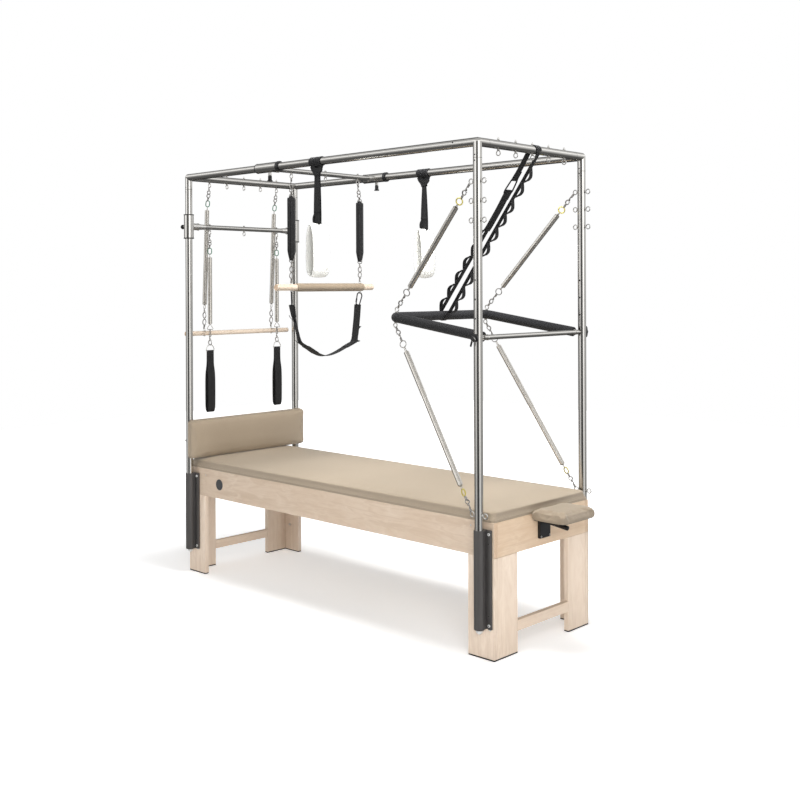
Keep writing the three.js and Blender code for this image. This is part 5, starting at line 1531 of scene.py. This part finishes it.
    # loose tails
    for q, sd in (([(x, -207, 1372), (x, -224, 1384), (x, -246, 1402), (x + 2, -254, 1412)], (0.8, -0.6, 0)),
                  ([(x, -180, 1266), (x, -198, 1272), (x, -214, 1286)], (0.8, -0.6, 0)),
                  ([(x - 4, 216, 1296), (x - 4, 226, 1322), (x - 4, 238, 1338), (x - 4, 252, 1344)], (0.8, 0.55, 0)),
                  ([(x, 204, 1262), (x, 222, 1262), (x, 240, 1267)], (0.8, 0.55, 0))):
        ribbon(k, smooth_path(q, 4), 22, 1.8, sd, 0)
    hang = [(-238, z - 19), (250, z - 27)]
    for i in (0, 1):
        yy, zz = hang[i]
        end = route[-1] if i else route[0]
        top, bot = V(x, yy, zz - 6.0), V(x, end[0], end[1])
        d = unit(top - bot)
        wd = unit((0.72, -0.69, 0)) if i == 0 else unit(np.cross(d, V(1, 0, 0)))
        o = [top + wd * 10, top + d * 1.5, top - wd * 10, top - wd * 17 - d * 9, top - wd * 17.5 - d * 18, bot - wd * 13 + d * 6, bot - wd * 10 - d * 1,
             bot + wd * 10 - d * 1, bot + wd * 13 + d * 6, top + wd * 17.5 - d * 18, top + wd * 17 - d * 9]
        wire(k, smooth_path(o, 3, True), 3.3, 2, 12, True)
        lathe(k, bot + wd * (-14.6) + d * 8, unit((top - wd * 17.2 - d * 16) - (bot - wd * 14.6 + d * 8)), [(0, 3.4), (0.5, 4.3), (20, 4.3), (21, 3.4)], 14, 2)
    make("sling_webbing", k, [M["web"], M["thread"], M["plastic"]], "sling", ["trapeze_sling"], 50)


trapeze()


# ------------------------------------------------------------------ fleece loops
def in_plane(p, nrm):
    """Width direction of a strap that lies flat against the plane with normal nrm."""
    return np.cross(tangents(np.asarray(p, float), False), V(nrm))


def fleece_loops():
    for side, sy in NEAR_FAR:
        x, y = 30.0, sy * POST_Y
        # white fleece: one thick pad folded up round an open slit, its ends sewn to the strap
        k = Kit()
        mid = [(x, 1857), (x - 11, 1845), (x - 22, 1795), (x - 25, 1740), (x - 25.5, 1685), (x - 22, 1638), (x - 12, 1617), (x, 1613),
               (x + 12, 1617), (x + 22, 1638), (x + 25.5, 1685), (x + 25, 1740), (x + 22, 1795), (x + 11, 1845)]
        pts = smooth_path([(a, y, b) for a, b in mid], 7, True)
        w = np.interp(pts[:, 2], [1612, 1625, 1680, 1740, 1800, 1835, 1858], [96, 104, 107, 105, 107, 110, 98])
        t = np.interp(pts[:, 2], [1612, 1640, 1760, 1830, 1858], [20, 18, 17, 15, 13])
        sweep(k, pts, rrect(1.0, 1.0, 0.40, 4), 0, True, side=(0, 1, 0), scale=np.stack([w, t], 1))
        ob = make(f"fleece_cuff_{side}", k, [M["fleece"]], None, (), 180)
        s = ob.modifiers.new("fine", "SUBSURF")
        s.levels = s.render_levels = 2
        apply(ob)
        me = ob.data
        co = np.array([v.co for v in me.vertices])
        no = np.array([v.normal for v in me.vertices])
        amp = np.array([(noise.noise(Vector(c * 26)) * 1.6 + noise.noise(Vector(c * 110)) * 0.8 + abs(noise.noise(Vector(c * 420))) * 1.1 - 0.5) / 1000 for c in co])
        me.vertices.foreach_set("co", (co + no * amp[:, None]).ravel())
        me.update()
        me.shade_smooth()
        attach(ob, f"fleece_{side}")
        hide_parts(f"fleece_loop_{side}")
        # webbing: two turns round the tube, a knot, and the doubled strap that widens down to the fleece
        k = Kit()
        for x0, wd in ((x - 22, 39), (x + 18, 39)):
            t = np.linspace(0, 2 * math.pi, 48, endpoint=False)
            p = np.stack([np.full(48, x0), y + 21.4 * np.cos(t), TOP_Z + 21.4 * np.sin(t)], 1)
            ribbon(k, p, wd, 2.4, (1, 0, 0), 0, True, stitch=(-16, 16))
        for dy, q, wd in ((-5.2, [(x - 33, 2142), (x - 26, 2128), (x - 10, 2110), (x - 2, 2092)], 30), (-3.0, [(x + 30, 2142), (x + 24, 2128), (x + 10, 2110), (x + 3, 2090)], 30),
                          (2.0, [(x - 4, 2144), (x - 3, 2120), (x, 2088)], 40), (-7.4, [(x - 28, 2136), (x - 8, 2122), (x + 16, 2116), (x + 36, 2120)], 20),
                          (-6.4, [(x + 38, 2122), (x + 28, 2110), (x + 8, 2098)], 15)):
            p = smooth_path([(a, y + dy * (1 if sy < 0 else 1), b) for a, b in q], 4)
            ribbon(k, p, wd, 3.0, in_plane(p, (0, 1, 0)), 0)
        for dy, e in ((-2.2, -1), (1.2, 1)):
            p = smooth_path([(x + 0.5 * e, y + dy, 2102), (x + e, y + dy, 2060), (x + 2 * e, y + dy, 1990), (x + 2.5 * e, y + dy, 1920), (x + 3 * e, y + dy, 1858)], 8)
            zz = p[:, 2]
            sc = np.interp(zz, [1858, 1900, 1960, 2040, 2102], [44, 46, 44, 40, 36] if sy < 0 else [42, 44, 40, 32, 25])
            sweep(k, p, rrect(1.0, 2.4, 0.4, 2), 0, side=(1, 0, 0), scale=np.stack([sc, np.ones(len(p))], 1))
        # slide buckle bulge and ragged tail low on the strap
        sweep(k, smooth_path([(x - 20, y - 3.5, 1905), (x - 26, y - 4, 1888), (x - 24, y - 4, 1868)], 4), rrect(12, 5, 2, 3), 0, side=(1, 0, 0))
        sweep(k, [(x - 22, y - 4, 1921), (x + 22, y - 4, 1921)], rrect(11, 4.0, 1.4, 3), 0, side=(0, 0, 1))
        make(f"fleece_strap_{side}", k, [M["web"], M["thread"]], f"fleece_{side}", (), 50)


fleece_loops()


# ------------------------------------------------------------------ safety strap
def safety_strap():
    b, t_ = V(bar_pt(BAR_L, 0)), V(POST_X, 0, TOP_Z)
    d = unit(t_ - b)
    L = np.linalg.norm(t_ - b)
    n = V(-d[2], 0, d[0])
    P = lambda s, off, y: b + d * s + n * off + V(0, y, 0)
    k = Kit()
    yy = V(0, 1, 0)
    # run 1, above: narrow part with sewn loops, then wide webbing, buckle, and up over the tube
    lo1 = smooth_path([P(s, o, y) for s, o, y in ((0, 24.4, 15), (120, 24.2, 17), (240, 24.0, 20), (360, 24.0, 24), (480, 24.0, 28))], 8)
    ribbon(k, lo1, 26, 2.4, yy, 0, stitch=(-9, 9))
    mid = smooth_path([P(s, o, y) for s, o, y in ((468, 26.6, 28), (500, 26.4, 31), (600, 26, 32), (682, 27.6, 30), (688, 25.6, 30), (682, 23.4, 30), (640, 23.2, 30))], 6)
    ribbon(k, mid, 48, 2.4, yy, 0, stitch=(-20, -7, 7, 20))
    top = [P(s, o, y) for s, o, y in ((790, 21.0, 25), (748, 22.6, 27), (739, 26.2, 28), (748, 28.6, 27), (800, 24, 23), (860, 22.2, 18), (L - 6, 21.4, 14))]
    arc = []
    for i in range(1, 12):
        a = math.pi * i / 12
        arc.append(t_ + n * 21.2 * math.cos(a) + d * 21.2 * math.sin(a) + V(0, 14 + 10 * i / 12, 0))
    up = smooth_path(top, 8)
    ribbon(k, np.concatenate([up, np.array(arc)]), 36, 2.4, yy, 0, stitch=(-14, 14))
    # run 2, below
    arc2 = [t_ - n * 21.2 + V(0, 24, 0)]
    down = [P(s, -o, y) for s, o, y in ((L - 30, 21.6, 23), (720, 22.6, 19), (560, 23.2, 15), (400, 23.6, 12), (240, 24, 11), (120, 24, 11), (0, 24.2, 11))]
    dn = smooth_path(arc2 + down, 8)
    ribbon(k, dn, 26, 2.4, yy, 0, stitch=(-9, 9))
    arc3 = []
    for i in range(1, 12):
        a = math.pi * i / 12
        arc3.append(b - n * 23.9 * math.cos(a) - d * 23.9 * math.sin(a) + V(0, 11 + 4 * i / 12, 0))
    ribbon(k, np.concatenate([dn[-2:], np.array(arc3), lo1[:2]]), 26, 2.4, yy, 0)
    # sewn daisy-chain loops that stand off both runs
    def loops(path, sgn, marks, size):
        run = np.concatenate([[0], np.cumsum(np.linalg.norm(np.diff(path, axis=0), axis=1))])
        for m in marks:
            q = []
            for f, h in ((-38, 1.5), (-33, 5), (-22, size * 0.6), (-8, size * 0.96), (4, size), (16, size * 0.82), (27, size * 0.45), (34, 6), (39, 1.5)):
                s = np.clip(m + f, 0, run[-1])
                i = min(max(np.searchsorted(run, s) - 1, 0), len(path) - 2)
                u = (s - run[i]) / max(run[i + 1] - run[i], 1e-6)
                c = path[i] * (1 - u) + path[i + 1] * u
                q.append(c + n * sgn * (h + 1.4))
            ribbon(k, smooth_path(q, 4), 24, 1.8, yy, 0, stitch=(-8, 8))
            s = np.clip(m + 40, 0, run[-1])       # bar tack between the loops
            i = min(max(np.searchsorted(run, s) - 1, 0), len(path) - 2)
            c = path[i] + n * sgn * 2.0
            sweep(k, [c + V(0, -10, 0), c + V(0, 10, 0)], rrect(5, 1.4, 0.5, 2), 1, side=d)
    loops(lo1, 1, (48, 128, 208, 288, 368, 440), 22)
    dn_run = float(np.sum(np.linalg.norm(np.diff(dn, axis=0), axis=1)))
    loops(dn, -1, [dn_run - s for s in (69, 145, 232, 315, 398, 480, 560, 631, 722, 800)], 24)
    # trapezoid frame buckle, open in its middle
    yc = 28
    bo = [(672, 20), (684, 26), (690, 27), (742, 20), (752, 13), (752, -13), (742, -20), (690, -27), (684, -26), (672, -20)]
    wire(k, smooth_path([P(s, 25.4, yc + v) for s, v in bo], 5, True), 3.4, 2, 12, True)
    for s, h in ((686, 25), (741, 18)):
        rod(k, P(s, 26.2, yc - h), P(s, 26.2, yc + h), 2.6, 2, 10)
    ob = make("safety_webbing", k, [M["web"], M["thread"], M["plastic"]], None, (), 50)
    tuple((P(L - 30, 0, 0) + V(SX, 0, 0)) / 1000)
    tuple((P(30, 0, 0) + V(SX, 0, 0)) / 1000)
    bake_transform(ob)
    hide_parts("safety_strap")


safety_strap()


# ------------------------------------------------------------------ floor, light
def studio():
    me = bpy.data.meshes.new("studio_floor")
    s = 7.5
    me.from_pydata([(-s, -s, -0.0006), (s, -s, -0.0006), (s, s, -0.0006), (-s, s, -0.0006)], [], [(0, 1, 2, 3)])
    fl = bpy.data.objects.new("studio_floor", me)
    bpy.context.scene.collection.objects.link(fl)
    n = Nodes("studio_floor_white")
    v = n.coords()
    grain = n.noise(v, 60, 3, 0.5)
    ln = n.new("VectorMath", {"operation": "LENGTH"})
    n.nt.links.new(v, ln.inputs[0])
    glow = n.ramp(n.math("MULTIPLY", ln.outputs["Value"], 0.2), [(0.0, (0.33,) * 3), (0.22, (0.38,) * 3), (0.42, (0.56,) * 3), (0.75, (1.0,) * 3)])
    n.base(n.mix(grain, (0.93, 0.93, 0.93), (0.96, 0.96, 0.96)), 0.85, 0.0)
    n.set(n.bsdf, "Emission Color", glow)
    n.bsdf.inputs["Emission Strength"].default_value = 1.0
    n.bsdf.inputs["Specular IOR Level"].default_value = 0.1
    me.materials.append(n.mat)
    fl.visible_glossy = False

    w = bpy.data.worlds.new("studio_world")
    bpy.context.scene.world = w
    w.use_nodes = True
    nt = w.node_tree
    nt.nodes.clear()
    N = lambda kind: nt.nodes.new("ShaderNode" + kind)
    out, lp, tc, sep = N("OutputWorld"), N("LightPath"), N("TexCoord"), N("SeparateXYZ")
    nt.links.new(tc.outputs["Generated"], sep.inputs[0])

    def ramp(src, stops):
        r = N("ValToRGB")
        e = r.color_ramp
        while len(e.elements) < len(stops):
            e.elements.new(0.5)
        for el, (p, v) in zip(e.elements, sorted(stops)):
            el.position = p
            el.color = (v, v, v, 1)
        nt.links.new(src, r.inputs[0])
        return r.outputs[0]

    def math_node(op, a, b):
        m = N("Math")
        m.operation = op
        for i, v in enumerate((a, b)):
            if isinstance(v, bpy.types.NodeSocket):
                nt.links.new(v, m.inputs[i])
            else:
                m.inputs[i].default_value = v
        return m.outputs[0]

    # what shines in the tubes: tall soft boxes round the room, with dark gaps, and a bright ceiling
    az = math_node("ADD", math_node("DIVIDE", math_node("ARCTAN2", sep.outputs[1], sep.outputs[0]), 2 * math.pi), 0.5)
    stops = []
    for off, v in ((-180, 0.10), (-150, 0.12), (-120, 0.18), (-90, 0.20), (-80, 0.70), (-54, 0.70), (-42, 0.14), (-26, 0.045), (-2, 0.04), (8, 0.22), (18, 1.0), (44, 1.0),
                   (54, 0.36), (90, 0.34), (130, 0.36), (150, 0.20), (165, 0.12)):
        stops.append((((off - 44.6 + 180) % 360) / 360, v))
    stops.sort()
    sides = ramp(az, stops)
    tall = ramp(math_node("MULTIPLY", math_node("ADD", sep.outputs[2], 1.0), 0.5),
                [(0.0, 0.16), (0.15, 0.06), (0.32, 0.045), (0.49, 0.12), (0.57, 0.38), (0.61, 0.62), (0.70, 0.66), (0.76, 0.32), (0.86, 0.22), (1.0, 0.26)])
    steep = ramp(math_node("ABSOLUTE", sep.outputs[2], 0.0), [(0.0, 0.0), (0.20, 0.0), (0.36, 1.0)])
    lift = ramp(math_node("MULTIPLY", math_node("ADD", sep.outputs[2], 0.5), 1.0), [(0.0, 0.28), (0.25, 0.34), (0.37, 0.48), (0.50, 0.68), (0.58, 1.0), (1.0, 1.0)])
    mixc = N("Mix")
    mixc.data_type = "RGBA"
    nt.links.new(steep, mixc.inputs[0])
    mul = N("Mix")
    mul.data_type, mul.blend_type = "RGBA", "MULTIPLY"
    mul.inputs[0].default_value = 1.0
    nt.links.new(sides, mul.inputs[6])
    nt.links.new(lift, mul.inputs[7])
    nt.links.new(mul.outputs[2], mixc.inputs[6])
    away = ramp(az, [((x - 44.6 + 180) % 360 / 360, v) for x, v in ((-134, 0.85), (-118, 1.0), (0, 1.0), (118, 1.0), (134, 0.85), (156, 0.30), (180, 0.26), (-156, 0.30))])
    mul2 = N("Mix")
    mul2.data_type, mul2.blend_type = "RGBA", "MULTIPLY"
    mul2.inputs[0].default_value = 1.0
    nt.links.new(tall, mul2.inputs[6])
    nt.links.new(away, mul2.inputs[7])
    nt.links.new(mul2.outputs[2], mixc.inputs[7])
    bg_gloss, bg_soft, bg_cam = N("Background"), N("Background"), N("Background")
    nt.links.new(mixc.outputs[2], bg_gloss.inputs[0])
    bg_gloss.inputs[1].default_value = 3.0
    soft = ramp(math_node("MULTIPLY", math_node("ADD", sep.outputs[2], 1.0), 0.5), [(0.0, 0.60), (0.5, 0.66), (0.8, 0.80), (1.0, 0.80)])
    nt.links.new(soft, bg_soft.inputs[0])
    bg_soft.inputs[1].default_value = 0.46
    bg_cam.inputs[0].default_value = (1, 1, 1, 1)
    m1, m2 = N("MixShader"), N("MixShader")
    nt.links.new(lp.outputs["Is Glossy Ray"], m1.inputs[0])
    nt.links.new(bg_soft.outputs[0], m1.inputs[1])
    nt.links.new(bg_gloss.outputs[0], m1.inputs[2])
    nt.links.new(lp.outputs["Is Camera Ray"], m2.inputs[0])
    nt.links.new(m1.outputs[0], m2.inputs[1])
    nt.links.new(bg_cam.outputs[0], m2.inputs[2])
    nt.links.new(m2.outputs[0], out.inputs[0])

    def area(name, loc, target, size, power, sy=None):
        l = bpy.data.lights.new(name, "AREA")
        l.shape = "RECTANGLE"
        l.size, l.size_y = size, sy or size
        l.energy = power
        o = bpy.data.objects.new(name, l)
        o.location = loc
        o.rotation_mode = "QUATERNION"
        o.rotation_quaternion = (Vector(target) - Vector(loc)).to_track_quat("-Z", "Y")
        o.visible_glossy = False
        bpy.context.scene.collection.objects.link(o)

    area("key_softbox", (4.4, -3.7, 3.0), (0.5, 0, 0.5), 2.2, 128, 2.0)
    area("fill_softbox", (-2.4, -4.6, 2.2), (0, 0, 0.7), 2.4, 13, 1.8)
    area("top_softbox", (0.62, -0.05, 2.95), (0.60, 0, 0), 1.1, 100, 1.0)
    vs = bpy.context.scene.view_settings
    vs.view_transform = "Standard"
    vs.look = "None"


studio()
